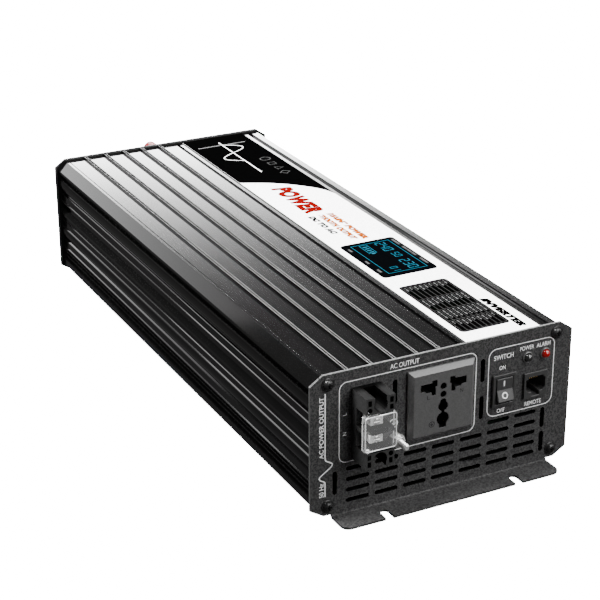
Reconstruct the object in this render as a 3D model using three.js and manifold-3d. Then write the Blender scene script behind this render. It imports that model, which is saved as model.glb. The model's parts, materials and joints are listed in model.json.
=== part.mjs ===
// Power inverter: a black aluminium housing between two sheet steel end panels.
// The AC outlets are on the front panel (towards -Y), the battery terminals and fans on the rear
// panel (towards +Y). Millimetres, +Z up, origin on the surface it stands on, at the box centre.
//
// Inside this file a point is (x, y, h): y runs back from the front panel's outer face, and h runs
// up from the panels' lower edge. The root group moves that frame to the part's own origin.
import * as THREE from 'three';
import { mergeVertices } from 'three/addons/utils/BufferGeometryUtils.js';
import Module from 'manifold-3d';

const wasm = await Module();
wasm.setup();

// ---------------------------------------------------------------- driving dimensions
const PANEL_WIDTH = 172;
const PANEL_HEIGHT = 88;
const BODY_LENGTH = 412; // outer face to outer face of the two end panels
const SHEET = 1.6; // steel of the end panels
const GAP = 0.3; // clearance between pieces that touch on the real object
const FOOT_REACH = 15.8; // how far a foot stands out of its panel
const FOOT_WIDTH = 145;
const FOOT_DROP = 2.8; // foot underside below the panel's lower edge
const BEND_RADIUS = 0.8;
const CASE_SCREW = { x: 75, low: 6, high: 82, clear: 2.2, shank: 1.7, head: 3.5 };

const SHELL_SIDE = 84; // outermost half width of the housing
const BAND_LEVEL = 86.2; // the flat bands of the top
const SEAM_LEVEL = 43.6; // where the two housing halves meet
const INSIDE = { x: 79.2, low: 4.4, high: 82.8, corner: 4.6 };

const SOCKET = { x: -3.4, h: 57, frame: 43.5, body: 39, rise: 4.2, rim: 1.6, bevel: 2.6, depth: 26 };
const TERMINAL = { x: -51.3, low: 33.5, high: 76.9, width: 18, rise: 17.3, lobe: 9.8, depth: 12 };
const COVER = { left: -61.7, right: -41.3, low: 44.4, high: 66.4, face: 18.5, plate: 1.2, flange: 4 };
const COVER_PIN = { x: -58.4, y: -15.6, radius: 0.9 };
const CLAMP_LEVELS = { live: 60.8, neutral: 49.9 };
const EARTH = { x: -32.7, h: 39.4, radius: 2, reach: 14.8 };
const SWITCH = { x: 39.3, h: 53.3, width: 15.6, height: 20.6, rise: 2, depth: 20 };
const ROCKER = { width: 10.9, height: 14.2, tilt: 10, pivot: 2.2 };
const JACK = { x: 61.15, h: 52, width: 15.9, height: 16.5, rise: 1.7, depth: 15 };
const LAMPS = { power: [55.4, 70.3], alarm: [67.5, 70.4] };
const LABEL = { left: 15.5, right: 65.3, thickness: 0.4 };
const DISPLAY = { left: 20, right: 58.9, front: 106, back: 164.7, window: 1 };

const FAN = { x: 45.8, h: 44, size: 60, depth: 25, bore: 28.6, hub: 12.5, tip: 27.4, blades: 7 };
const DC = { positive: 77, negative: 35, stud: 4, shank: 5.4, bush: 10, bushRise: 4, washer: 8 };
const KNOB = { skirt: 7.4, skirtEnd: 10.5, barrel: 5.2, flutes: 8, hollow: 23, end: 27 };
const MAIN_BOARD = { under: 13.8, thickness: 1.6, front: 30, back: 382, halfWidth: 78.6 };
const BOARD_TOP = MAIN_BOARD.under + MAIN_BOARD.thickness;

const BACK = BODY_LENGTH; // outer face of the rear panel
const FRONT_REACH = COVER.face; // furthest point in front of the front panel
const REAR_REACH = KNOB.end; // furthest point behind the rear panel
const CENTRE_Y = (BODY_LENGTH + REAR_REACH - FRONT_REACH) / 2;

// ---------------------------------------------------------------- solids
// Triangles that shrink to a line where a turned profile meets its axis are dropped.
function solid(geometry) {
  const bare = geometry.clone();
  bare.deleteAttribute('normal');
  bare.deleteAttribute('uv');
  const merged = mergeVertices(bare, 1e-4);
  const corners = merged.index.array;
  const kept = [];
  for (let i = 0; i < corners.length; i += 3) {
    const [a, b, c] = [corners[i], corners[i + 1], corners[i + 2]];
    if (a !== b && b !== c && c !== a) {
      kept.push(a, b, c);
    }
  }
  const vertProperties = new Float32Array(merged.attributes.position.array);
  const triVerts = new Uint32Array(kept);
  return new wasm.Manifold(new wasm.Mesh({ numProp: 3, vertProperties, triVerts }));
}

function geometryOf(manifold) {
  const mesh = manifold.getMesh();
  const geometry = new THREE.BufferGeometry();
  geometry.setAttribute('position', new THREE.BufferAttribute(mesh.vertProperties, 3));
  geometry.setIndex(new THREE.BufferAttribute(mesh.triVerts, 1));
  geometry.computeVertexNormals();
  return geometry;
}

function joined(first, ...others) {
  return others.reduce((whole, piece) => whole.add(piece), first);
}

function cut(whole, ...tools) {
  return tools.reduce((rest, tool) => rest.subtract(tool), whole);
}

function block(x, y, h) {
  const geometry = new THREE.BoxGeometry(x[1] - x[0], y[1] - y[0], h[1] - h[0]);
  geometry.translate((x[0] + x[1]) / 2, (y[0] + y[1]) / 2, (h[0] + h[1]) / 2);
  return solid(geometry);
}

// A shape drawn in (x, h), filled from y[0] to y[1].
function alongY(shape, y) {
  const geometry = new THREE.ExtrudeGeometry(shape, { depth: y[1] - y[0], bevelEnabled: false });
  geometry.rotateX(Math.PI / 2);
  geometry.translate(0, y[1], 0);
  return solid(geometry);
}

// A shape drawn in (y, h), filled from x[0] to x[1].
function alongX(shape, x) {
  const geometry = new THREE.ExtrudeGeometry(shape, { depth: x[1] - x[0], bevelEnabled: false });
  const turn = new THREE.Matrix4().makeBasis(
    new THREE.Vector3(0, 1, 0),
    new THREE.Vector3(0, 0, 1),
    new THREE.Vector3(1, 0, 0),
  );
  geometry.applyMatrix4(turn);
  geometry.translate(x[0], 0, 0);
  return solid(geometry);
}

// A shape drawn in (x, y), filled from h[0] to h[1].
function upright(shape, h) {
  const geometry = new THREE.ExtrudeGeometry(shape, { depth: h[1] - h[0], bevelEnabled: false });
  geometry.translate(0, 0, h[0]);
  return solid(geometry);
}

// A round bar along Y.
function rod(x, h, radius, y, sides = 16) {
  const geometry = new THREE.CylinderGeometry(radius, radius, y[1] - y[0], sides);
  geometry.translate(x, (y[0] + y[1]) / 2, h);
  return solid(geometry);
}

// A turned piece on an axis along Y: profile points are [radius, y].
function turned(profile, x, h, sides = 20) {
  const points = profile.map(([radius, y]) => new THREE.Vector2(radius, y));
  const geometry = new THREE.LatheGeometry(points, sides);
  geometry.translate(x, 0, h);
  return solid(geometry);
}

// A round bar standing upright.
function post(x, y, radius, h, sides = 16) {
  const geometry = new THREE.CylinderGeometry(radius, radius, h[1] - h[0], sides);
  geometry.rotateX(Math.PI / 2);
  geometry.translate(x, y, (h[0] + h[1]) / 2);
  return solid(geometry);
}

// ---------------------------------------------------------------- outlines
function polygon(points) {
  return new THREE.Shape(points.map(([a, b]) => new THREE.Vector2(a, b)));
}

function rectangle(centreX, centreH, width, height) {
  const halfWidth = width / 2;
  const halfHeight = height / 2;
  return polygon([
    [centreX - halfWidth, centreH - halfHeight],
    [centreX + halfWidth, centreH - halfHeight],
    [centreX + halfWidth, centreH + halfHeight],
    [centreX - halfWidth, centreH + halfHeight],
  ]);
}

function slot(centreX, centreH, length, width, standing = false) {
  const radius = width / 2;
  const reach = length / 2 - radius;
  const steps = 4;
  if (standing) {
    return polygon([
      ...arcPoints([centreX, centreH + reach], radius, 0, 180, steps),
      ...arcPoints([centreX, centreH - reach], radius, 180, 360, steps),
    ]);
  }
  return polygon([
    ...arcPoints([centreX + reach, centreH], radius, -90, 90, steps),
    ...arcPoints([centreX - reach, centreH], radius, 90, 270, steps),
  ]);
}

function mirrored(points) {
  return points.map(([x, h]) => [-x, h]).reverse();
}

function arcPoints(centre, radius, from, to, steps) {
  return Array.from({ length: steps + 1 }, (_, i) => {
    const angle = THREE.MathUtils.degToRad(from + ((to - from) * i) / steps);
    return [centre[0] + radius * Math.cos(angle), centre[1] + radius * Math.sin(angle)];
  });
}

// ---------------------------------------------------------------- materials
function finish(color, roughness, metalness, opacity = 1) {
  return new THREE.MeshStandardMaterial({
    color,
    roughness,
    metalness,
    opacity,
    transparent: opacity < 1,
  });
}

const anodised = finish(0x151515, 0.3, 0.7);
const powderCoat = finish(0x333335, 0.6, 0.1);
const blackSteel = finish(0x181818, 0.35, 0.8);
const greyPlastic = finish(0x4a4a4a, 0.45, 0);
const blackPlastic = finish(0x2c2c2c, 0.45, 0);
const redPlastic = finish(0xb01218, 0.35, 0);
const clearPlastic = finish(0xd8dcde, 0.1, 0, 0.35);
const labelFilm = finish(0xf2f2f2, 0.4, 0);
const glassBlack = finish(0x0a1014, 0.08, 0);
const brightSteel = finish(0xc8c8c8, 0.25, 1);
const brass = finish(0xb89550, 0.3, 1);
const copper = finish(0xb87445, 0.3, 1);
const boardGreen = finish(0x1f4a2e, 0.5, 0);
const ferrite = finish(0x2b2b2e, 0.6, 0);
const copperCoil = finish(0x8a4a22, 0.4, 0.4);
const sinkAluminium = finish(0xa9abad, 0.4, 0.9);
const capacitorSleeve = finish(0x1d2430, 0.35, 0);
const leadRed = finish(0x9c1c1c, 0.5, 0);
const leadBlack = finish(0x1a1a1a, 0.5, 0);
const ribbonGrey = finish(0x8a8a8a, 0.5, 0);

const inverter = new THREE.Group();
inverter.position.set(0, -CENTRE_Y, FOOT_DROP);

function add(name, manifold, material) {
  const mesh = new THREE.Mesh(geometryOf(manifold), material);
  mesh.name = name;
  inverter.add(mesh);
  return mesh;
}

// ---------------------------------------------------------------- housing halves
// The side wall from the top chamfer down to the seam: rolls, grooves and one sloping ledge.
const UPPER_SIDE = [
  [77.6, BAND_LEVEL],
  [SHELL_SIDE, 80.6],
  [SHELL_SIDE, 78.6],
  [81.7, 78.3],
  [81.7, 74.7],
  [83.5, 74.4],
  [83.5, 73.7],
  ...arcPoints([74, 69.9], 10, 20, -44, 7),
  [82.6, 62.2],
  [82.6, 57.5],
  [83.3, 57.1],
  [83.3, 56.4],
  [80.8, 55.9],
  [80.8, 50.6],
  [83.5, 47.6],
  [83.5, 46],
  [82.6, 45.7],
  [82.6, SEAM_LEVEL + GAP / 2],
];

const LOWER_SIDE = [
  [82.6, SEAM_LEVEL - GAP / 2],
  [82.6, 42.2],
  [83.2, 41.9],
  [82.8, 41.2],
  [82.8, 37.2],
  [83.6, 36.7],
  [83.5, 35.8],
  ...arcPoints([75.5, 32.6], 8.4, 20, -42, 6),
  [82.7, 26.2],
  [82.7, 21.4],
  [83.4, 20.9],
  [83.4, 20.2],
  [82.1, 19.9],
  [82.1, 18.8],
  [83.4, 18.5],
  [83.4, 17.9],
  [81.9, 17.5],
  [81.9, 15.4],
  [83.4, 15.1],
  [83.4, 14.5],
  [81.9, 14.1],
  [81.9, 11.8],
  [SHELL_SIDE, 11.3],
  [SHELL_SIDE, 6.6],
  [77.4, 2],
];

// Raised ribs between the top's bands: two crests with a valley between them.
const RIB_PLACES = [-62.3, -46.8, -32, -17.7, -3.4];
const RIB_SECTION = [
  [-1.25, 0],
  [-1.25, 1.3],
  [-0.95, 1.6],
  [-0.5, 1.5],
  [-0.25, 0.5],
  [0.25, 0.5],
  [0.5, 1.5],
  [0.95, 1.6],
  [1.25, 1.3],
  [1.25, 0],
];
const CHANNELS = [
  [9.6, 12.3],
  [68.7, 72.7],
]; // the deep channels along both sides of the label strip
const CHANNEL_FLOOR = 84.4;
const HAIR_GROOVE = { x: -75.5, half: 0.35, floor: 85.7 };

function topLine() {
  const points = [
    [HAIR_GROOVE.x - HAIR_GROOVE.half, BAND_LEVEL],
    [HAIR_GROOVE.x, HAIR_GROOVE.floor],
    [HAIR_GROOVE.x + HAIR_GROOVE.half, BAND_LEVEL],
  ];
  for (const place of RIB_PLACES) {
    points.push(...RIB_SECTION.map(([x, rise]) => [place + x, BAND_LEVEL + rise]));
  }
  for (const [left, right] of CHANNELS) {
    points.push([left, BAND_LEVEL], [left, CHANNEL_FLOOR]);
    points.push([right, CHANNEL_FLOOR], [right, BAND_LEVEL]);
  }
  return points;
}

const shellSpan = [SHEET + GAP, BACK - SHEET - GAP];
const LAP = { wide: 80.9, narrow: 80.5, upper: 47.2, lower: 46.6 };

function upperShell() {
  const { x, high, corner } = INSIDE;
  const inner = [
    [LAP.wide, SEAM_LEVEL + GAP / 2],
    [LAP.wide, LAP.upper],
    [x, LAP.upper + 1.2],
    [x, high - corner],
    [x - corner, high],
  ];
  const outline = polygon([
    ...mirrored(UPPER_SIDE),
    ...topLine(),
    ...UPPER_SIDE,
    ...inner,
    ...mirrored(inner),
  ]);
  let shell = alongY(outline, shellSpan);
  for (const side of [-1, 1]) {
    const boss = rod(side * CASE_SCREW.x, CASE_SCREW.high, 4, shellSpan, 12);
    const bore = rod(side * CASE_SCREW.x, CASE_SCREW.high, CASE_SCREW.shank + GAP, [0, BACK], 10);
    shell = cut(joined(shell, boss), bore);
  }
  const { left, right, front, back } = DISPLAY;
  const opening = block([left + 2, right - 2], [front + 2, back - 2], [80, 90]);
  return cut(shell, opening);
}

function lowerShell() {
  const { x, low, corner } = INSIDE;
  const rail = { reach: 3, thick: 1 };
  const slotLow = MAIN_BOARD.under - GAP;
  const slotHigh = BOARD_TOP + GAP;
  const inner = [
    [x - corner, low],
    [x, low + corner],
    [x, slotLow - rail.thick],
    [x - rail.reach, slotLow - rail.thick],
    [x - rail.reach, slotLow],
    [x, slotLow],
    [x, slotHigh],
    [x - rail.reach, slotHigh],
    [x - rail.reach, slotHigh + rail.thick],
    [x, slotHigh + rail.thick],
    [x, LAP.lower],
    [LAP.narrow, LAP.lower],
    [LAP.narrow, SEAM_LEVEL - GAP / 2],
  ];
  const outline = polygon([
    ...LOWER_SIDE,
    ...mirrored(LOWER_SIDE),
    ...mirrored(inner),
    ...inner,
  ]);
  let shell = alongY(outline, shellSpan);
  for (const side of [-1, 1]) {
    const boss = rod(side * CASE_SCREW.x, CASE_SCREW.low, 3.8, shellSpan, 12);
    const bore = rod(side * CASE_SCREW.x, CASE_SCREW.low, CASE_SCREW.shank + GAP, [0, BACK], 10);
    shell = cut(joined(shell, boss), bore);
  }
  return shell;
}

add('upper_shell', upperShell(), anodised);
add('lower_shell', lowerShell(), anodised);

// ---------------------------------------------------------------- end panels
// A sheet with cut corners, whose lower edge is bent outwards into a foot with two open notches.
const NOTCH = { x: 43.35, width: 5.2, depth: 9.2 };

function panelBlank() {
  const halfWidth = PANEL_WIDTH / 2;
  const top = PANEL_HEIGHT;
  const side = [
    [halfWidth - 8.5, 0],
    [halfWidth, 5.2],
    [halfWidth, top - 5.5],
    [halfWidth - 8, top],
  ];
  const sheet = alongY(polygon([...side, ...mirrored(side)]), [0, SHEET]);

  const bendCentre = [-BEND_RADIUS, BEND_RADIUS + SHEET - FOOT_DROP];
  const section = polygon([
    [SHEET, 6],
    [0, 6],
    ...arcPoints(bendCentre, BEND_RADIUS, 0, -90, 3),
    [-FOOT_REACH, SHEET - FOOT_DROP],
    [-FOOT_REACH, -FOOT_DROP],
    ...arcPoints(bendCentre, BEND_RADIUS + SHEET, -90, 0, 4),
  ]);
  const foot = alongX(section, [-FOOT_WIDTH / 2, FOOT_WIDTH / 2]);

  const cornerRadius = 5;
  const halfFoot = FOOT_WIDTH / 2;
  const cornerX = halfFoot - cornerRadius;
  const cornerY = cornerRadius - FOOT_REACH;
  const notchRadius = NOTCH.width / 2;
  const notches = [-NOTCH.x, NOTCH.x].flatMap((centre) => [
    [centre - notchRadius, -FOOT_REACH],
    ...arcPoints([centre, NOTCH.depth - FOOT_REACH - notchRadius], notchRadius, 180, 0, 8),
    [centre + notchRadius, -FOOT_REACH],
  ]);
  const plan = polygon([
    [halfFoot + 1, SHEET + 1],
    [-halfFoot - 1, SHEET + 1],
    [-halfFoot - 1, 0],
    [-halfFoot, 0],
    ...arcPoints([-cornerX, cornerY], cornerRadius, 180, 270, 5),
    ...notches,
    ...arcPoints([cornerX, cornerY], cornerRadius, 270, 360, 5),
    [halfFoot, 0],
    [halfFoot + 1, 0],
  ]);
  const trimmed = foot.intersect(upright(plan, [-FOOT_DROP - 1, 7]));

  let blank = joined(sheet, trimmed);
  for (const side of [-1, 1]) {
    for (const level of [CASE_SCREW.low, CASE_SCREW.high]) {
      blank = cut(blank, rod(side * CASE_SCREW.x, level, CASE_SCREW.clear, [-1, SHEET + 1], 12));
    }
  }
  return blank;
}

const VENT = { pitch: 18.6, length: 15.2, width: 2.7, rows: [26.8, 20, 13.3, 6.6] };
const HIGH_VENT_ROW = 33.5; // a fifth row under the switch only
const STANDING_SLOTS = [
  [-70.4, 19.5, 15.1],
  [-32.6, 68.15, 15.1],
  [25.1, 68.2, 15],
  [25.1, 44.55, 15.1],
  [68.1, 28.25, 13.5],
  [68.1, 12.3, 13.6],
]; // x, centre height, length

function frontPanel() {
  const openings = [];
  for (let column = -3; column <= 3; column += 1) {
    for (const row of VENT.rows) {
      openings.push(slot(column * VENT.pitch, row, VENT.length, VENT.width));
    }
  }
  for (const column of [2, 3]) {
    openings.push(slot(column * VENT.pitch, HIGH_VENT_ROW, VENT.length, VENT.width));
  }
  for (const [x, h, length] of STANDING_SLOTS) {
    openings.push(slot(x, h, length, 2.9, true));
  }
  const terminalHeight = TERMINAL.high - TERMINAL.low;
  const terminalCentre = (TERMINAL.high + TERMINAL.low) / 2;
  openings.push(rectangle(SOCKET.x, SOCKET.h, SOCKET.body + 0.8, SOCKET.body + 0.8));
  openings.push(rectangle(TERMINAL.x, terminalCentre, TERMINAL.width - 1.4, terminalHeight - 2.2));
  openings.push(rectangle(SWITCH.x, SWITCH.h, SWITCH.width - 2.2, SWITCH.height - 1.4));
  openings.push(rectangle(JACK.x, JACK.h, JACK.width - 1.4, JACK.height - 1.4));
  let panel = panelBlank();
  for (const outline of openings) {
    panel = cut(panel, alongY(outline, [-1, SHEET + 1]));
  }
  for (const [x, h] of Object.values(LAMPS)) {
    panel = cut(panel, rod(x, h, 3.1, [-1, SHEET + 1], 16));
  }
  return cut(panel, rod(EARTH.x, EARTH.h, EARTH.radius + GAP, [-1, SHEET + 1], 12));
}

const turnToRear = new THREE.Matrix4().makeRotationZ(Math.PI);
turnToRear.setPosition(0, BACK, 0);

function rearPanel() {
  let panel = solid(geometryOf(panelBlank()).applyMatrix4(turnToRear));
  const through = [BACK - SHEET - 1, BACK + 1];
  for (const side of [-1, 1]) {
    panel = cut(panel, rod(side * FAN.x, FAN.h, FAN.bore - GAP, through, 32));
  }
  for (const level of [DC.positive, DC.negative]) {
    panel = cut(panel, rod(0, level, DC.shank + 0.4, through, 20));
  }
  return panel;
}

add('front_panel', frontPanel(), powderCoat);
add('rear_panel', rearPanel(), powderCoat);

// Pan-head machine screws at the panel corners, screwed into the housing's screw ports.
function caseScrew(x, h) {
  const { shank, head } = CASE_SCREW;
  const profile = [
    [0, -2.5],
    [1.9, -2.35],
    [3, -1.7],
    [head, -0.9],
    [head, -GAP],
    [shank, -GAP],
    [shank, 10],
    [0, 10],
  ];
  const cross = { arm: 0.35, reach: 1.7, depth: 1.2 };
  const recess = joined(
    block([x - cross.arm, x + cross.arm], [-3, -2.4 + cross.depth], [h - cross.reach, h + cross.reach]),
    block([x - cross.reach, x + cross.reach], [-3, -2.4 + cross.depth], [h - cross.arm, h + cross.arm]),
  );
  return cut(turned(profile, x, h, 12), recess);
}

const corners = [
  [-CASE_SCREW.x, CASE_SCREW.high],
  [CASE_SCREW.x, CASE_SCREW.high],
  [-CASE_SCREW.x, CASE_SCREW.low],
  [CASE_SCREW.x, CASE_SCREW.low],
];
corners.forEach(([x, h], index) => {
  const screw = caseScrew(x, h);
  add(`front_screw_${index + 1}`, screw, blackSteel);
  const turnedScrew = solid(geometryOf(screw).applyMatrix4(turnToRear));
  add(`rear_screw_${index + 1}`, turnedScrew, blackSteel);
});

// ---------------------------------------------------------------- label and display
function topLabel() {
  const low = BAND_LEVEL + GAP;
  const sheet = block([LABEL.left, LABEL.right], [4, BACK - 4], [low, low + LABEL.thickness]);
  const { left, right, front, back } = DISPLAY;
  const window = block([left - GAP, right + GAP], [front - GAP, back + GAP], [low - 1, low + 2]);
  return cut(sheet, window);
}

function displayWindow() {
  const low = BAND_LEVEL + GAP;
  const { left, right, front, back, window } = DISPLAY;
  return block([left, right], [front, back], [low, low + window]);
}

function displayModule() {
  const { left, right, front, back } = DISPLAY;
  const inset = 2 + GAP;
  const glass = block(
    [left + inset, right - inset],
    [front + inset, back - inset],
    [BAND_LEVEL - 3.2, BAND_LEVEL - 0.1],
  );
  const board = block([left - 1, right + 1], [front - 4, back + 4], [80.2, 82.4]);
  const bridge = block([left + 6, right - 6], [front + 6, back - 6], [82, BAND_LEVEL - 3]);
  return joined(board, bridge, glass);
}

add('top_label', topLabel(), labelFilm);
add('display_window', displayWindow(), glassBlack);
add('display_module', displayModule(), ferrite);

// ---------------------------------------------------------------- universal AC socket
const SLOT_SIDES = [-1, 1];
const EARTH_CHAIN = [
  { h: -0.1, radius: 2.05 },
  { h: -2.7, radius: 3.2 },
  { h: -10.5, radius: 4 },
];
const ROUND_HOLES = [9.9, 4.8]; // heights above the socket's centre
const POCKET_DEPTH = 17;

// The flat-blade and angled-blade aperture on one side, as an outline around the socket centre.
function bladeOutline(side) {
  const points = [
    [15, 13.25],
    [7.5, 13.25],
    [7.5, 14.6],
    [4.2, 14.6],
    [4.2, 10.6],
    [5.2, 10.4],
    [5.2, 5.3],
    [7.85, 5.3],
    [7.85, 7.4],
    [11.2, 7.5],
    [12.2, 8.7],
    [15, 8.7],
  ].map(([x, h]) => [SOCKET.x + side * x, SOCKET.h + h]);
  return polygon(side < 0 ? points.reverse() : points);
}

function acSocket() {
  const { x, h, frame, body, rise, rim, bevel, depth } = SOCKET;
  const half = (frame / 2) * Math.SQRT2; // to a corner of the square frame
  const face = (frame / 2 - bevel) * Math.SQRT2;
  const profile = [
    [0, -rise],
    [face, -rise],
    [half, -rim],
    [half, -GAP],
    [0, -GAP],
  ].map(([radius, y]) => new THREE.Vector2(radius, y));
  const front = new THREE.LatheGeometry(profile, 4, Math.PI / 4);
  front.translate(x, 0, h);
  const rear = block([x - body / 2, x + body / 2], [-rim, depth], [h - body / 2, h + body / 2]);
  let socket = joined(solid(front), rear);
  const pocket = [-rise - 1, POCKET_DEPTH];
  for (const side of SLOT_SIDES) {
    socket = cut(socket, alongY(bladeOutline(side), pocket));
  }
  for (const hole of ROUND_HOLES) {
    socket = cut(socket, rod(x, h + hole, 2.05, pocket, 16));
  }
  for (const hole of EARTH_CHAIN) {
    socket = cut(socket, rod(x, h + hole.h, hole.radius, pocket, 18));
  }
  const neck = block([x - 0.9, x + 0.9], pocket, [h - 8, h - 5]);
  const tail = block([x - 2.35, x + 2.35], pocket, [h - 16.4, h - 12]);
  return cut(socket, neck, tail);
}

add('ac_socket', acSocket(), greyPlastic);

// Sprung contacts: folded strips standing in the socket's pockets.
function contact(centreX, centreH, width, height) {
  const y = [5, POCKET_DEPTH - GAP];
  const outer = block([centreX - width / 2, centreX + width / 2], y, [centreH - height / 2, centreH + height / 2]);
  const wall = 0.6;
  const gap = block(
    [centreX - width / 2 + wall, centreX + width / 2 - wall],
    [y[0] - 1, y[1] - 1.2],
    [centreH - height / 2 - 1, centreH + height / 2 + 1],
  );
  return cut(outer, gap);
}

add('socket_contact_live', contact(SOCKET.x - 11.5, SOCKET.h + 11, 6.2, 3.6), brass);
add('socket_contact_neutral', contact(SOCKET.x + 11.5, SOCKET.h + 11, 6.2, 3.6), brass);
add('socket_contact_earth', contact(SOCKET.x, SOCKET.h - 10.5, 4.6, 4.6), brass);

// ---------------------------------------------------------------- AC terminal block and its cover
function terminalBlock() {
  const { x, low, high, width, rise, lobe, depth } = TERMINAL;
  const left = x - width / 2;
  const right = x + width / 2;
  const floor = -6;
  const middle = (CLAMP_LEVELS.live + CLAMP_LEVELS.neutral) / 2;
  let body = joined(
    block([left, right], [floor, -GAP], [low, high]),
    block([left, right], [-rise, floor], [low, low + lobe]),
    block([left, right], [-rise, floor], [high - lobe, high]),
    block([left, right], [-10.9, floor], [middle - 1.5, middle + 1.5]),
    block([left + 4.4, right], [-rise + 0.6, floor], [middle - 1.5, middle + 1.5]),
    block([left + 1, right - 1], [-1, depth], [low + 1.4, high - 1.4]),
  );
  const wellFloor = -3;
  for (const end of [-1, 1]) {
    const wellLevel = end > 0 ? high - 4.9 : low + 4.9;
    const mouth = end > 0 ? [wellLevel, high + 1] : [low - 1, wellLevel];
    body = cut(
      body,
      rod(x, wellLevel, 4.35, [-rise - 1, wellFloor], 20),
      block([x - 3.8, x + 3.8], [-rise - 1, wellFloor], mouth),
    );
    const inner = end > 0 ? high - lobe : low + lobe;
    const pocket = [-rise - 1, -rise + 6];
    const near = [inner + end * 1, inner + end * 4].sort((a, b) => a - b);
    const far = [inner + end * 5.2, inner + end * 8.6].sort((a, b) => a - b);
    body = cut(body, block([x + end * 6.8 - 1.1, x + end * 6.8 + 1.1], pocket, near));
    body = cut(body, block([x + end * 6.8 - 1.1, x + end * 6.8 + 1.1], pocket, far));
    body = cut(body, block([x - end * 6.8 - 1.1, x - end * 6.8 + 1.1], pocket, far));
    body = cut(body, rod(x - end * 6.8, inner + end * 2.6, 1.55, pocket, 10));
    const pinReach = [inner - end, inner + end * 2.4].sort((a, b) => a - b);
    const pinHole = post(COVER_PIN.x, COVER_PIN.y, COVER_PIN.radius + GAP, pinReach, 10);
    body = cut(body, pinHole);
  }
  return body;
}

function terminalCover() {
  const { left, right, low, high, face, plate, flange } = COVER;
  const back = -face + flange;
  const cover = [
    block([left, right], [-face, -face + plate], [low, high]),
    block([left, left + 0.9], [-face, back], [low, high]),
    block([right - 0.7, right], [-face, back], [low, high]),
  ];
  const pinLength = 1.7;
  for (const [end, level] of [[-1, low], [1, high]]) {
    const earLevels = [level, level - end].sort((a, b) => a - b);
    const pinLevels = [level - end * 0.5, level + end * pinLength].sort((a, b) => a - b);
    cover.push(block([left + 0.5, COVER_PIN.x + 1.2], [-face + 0.5, COVER_PIN.y + 1.1], earLevels));
    cover.push(post(COVER_PIN.x, COVER_PIN.y, COVER_PIN.radius, pinLevels, 10));
  }
  return joined(...cover);
}

// One wire clamp: a square pressure plate under a slotted screw.
function clampScrew(level) {
  const { x } = TERMINAL;
  const plate = block([x - 4.7, x + 4.7], [-9.6, -8], [level - 3.6, level + 3.6]);
  const cage = block([x - 3.2, x + 3.2], [-8.2, -6.3], [level - 3.2, level + 3.2]);
  const head = turned([[0, -13.4], [3.1, -13.4], [3.4, -13], [3.4, -9.4], [0, -9.4]], x, level, 16);
  const slotCut = block([x - 4, x + 4], [-15, -12.2], [level - 0.45, level + 0.45]);
  return cut(joined(plate, cage, head), slotCut);
}

add('terminal_block', terminalBlock(), blackPlastic);
add('terminal_cover', terminalCover(), clearPlastic);
add('terminal_screw_live', clampScrew(CLAMP_LEVELS.live), brightSteel);
add('terminal_screw_neutral', clampScrew(CLAMP_LEVELS.neutral), brightSteel);

// ---------------------------------------------------------------- earth stud
function earthStud() {
  const { x, h, radius, reach } = EARTH;
  const profile = [
    [0, -reach],
    [radius - 0.6, -reach],
    [radius, -reach + 0.6],
    [radius, SHEET + GAP],
    [radius + 2, SHEET + GAP],
    [radius + 2, SHEET + 3],
    [0, SHEET + 3],
  ];
  return turned(profile, x, h, 16);
}

function hexNut(x, h, acrossFlats, y, bore) {
  const outer = new THREE.CylinderGeometry(acrossFlats / Math.sqrt(3), acrossFlats / Math.sqrt(3), y[1] - y[0], 6);
  outer.translate(x, (y[0] + y[1]) / 2, h);
  return cut(solid(outer), rod(x, h, bore, [y[0] - 1, y[1] + 1], 16));
}

add('earth_stud', earthStud(), brightSteel);
add('earth_nut', hexNut(EARTH.x, EARTH.h, 7, [-3.4, -GAP], EARTH.radius + GAP), brightSteel);

// ---------------------------------------------------------------- rocker switch
function switchFrame() {
  const { x, h, width, height, rise, depth } = SWITCH;
  const bezel = block([x - width / 2, x + width / 2], [-rise, -GAP], [h - height / 2, h + height / 2]);
  const body = block(
    [x - width / 2 + 1.5, x + width / 2 - 1.5],
    [-rise + 0.5, depth],
    [h - height / 2 + 1.1, h + height / 2 - 1.1],
  );
  const well = block(
    [x - ROCKER.width / 2 - 0.4, x + ROCKER.width / 2 + 0.4],
    [-rise - 1, 9],
    [h - ROCKER.height / 2 - 1.2, h + ROCKER.height / 2 + 1.2],
  );
  const tabs = [-1, 1].map((side) =>
    block([x + side * 3 - 0.4, x + side * 3 + 0.4], [depth - 1, depth + 7], [h - 3, h + 3]),
  );
  return joined(cut(joined(bezel, body), well), ...tabs);
}

// The rocker turns on the line (SWITCH.h, ROCKER.pivot); its two faces meet in a shallow V, and
// the upper one is pressed in.
function switchRocker() {
  const { x, h } = SWITCH;
  const { width, height, tilt, pivot } = ROCKER;
  const half = height / 2;
  const slope = Math.tan(THREE.MathUtils.degToRad(tilt));
  const faceDepth = -4.6;
  const outline = [
    [faceDepth, 0],
    [faceDepth - half * slope, half],
    [-1.2, half + 0.1],
    [3.2, half * 0.72],
    [4.2, 2],
    [4.2, -2],
    [3.2, -half * 0.72],
    [-1.2, -half - 0.1],
    [faceDepth - half * slope, -half],
  ];
  const angle = THREE.MathUtils.degToRad(-tilt);
  const points = outline.map(([y, z]) => {
    const turnedY = y * Math.cos(angle) - z * Math.sin(angle);
    const turnedZ = y * Math.sin(angle) + z * Math.cos(angle);
    return [turnedY + pivot, turnedZ + h];
  });
  return alongX(polygon(points), [x - width / 2, x + width / 2]);
}

add('switch_frame', switchFrame(), blackPlastic);
add('switch_rocker', switchRocker(), blackPlastic);

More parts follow.
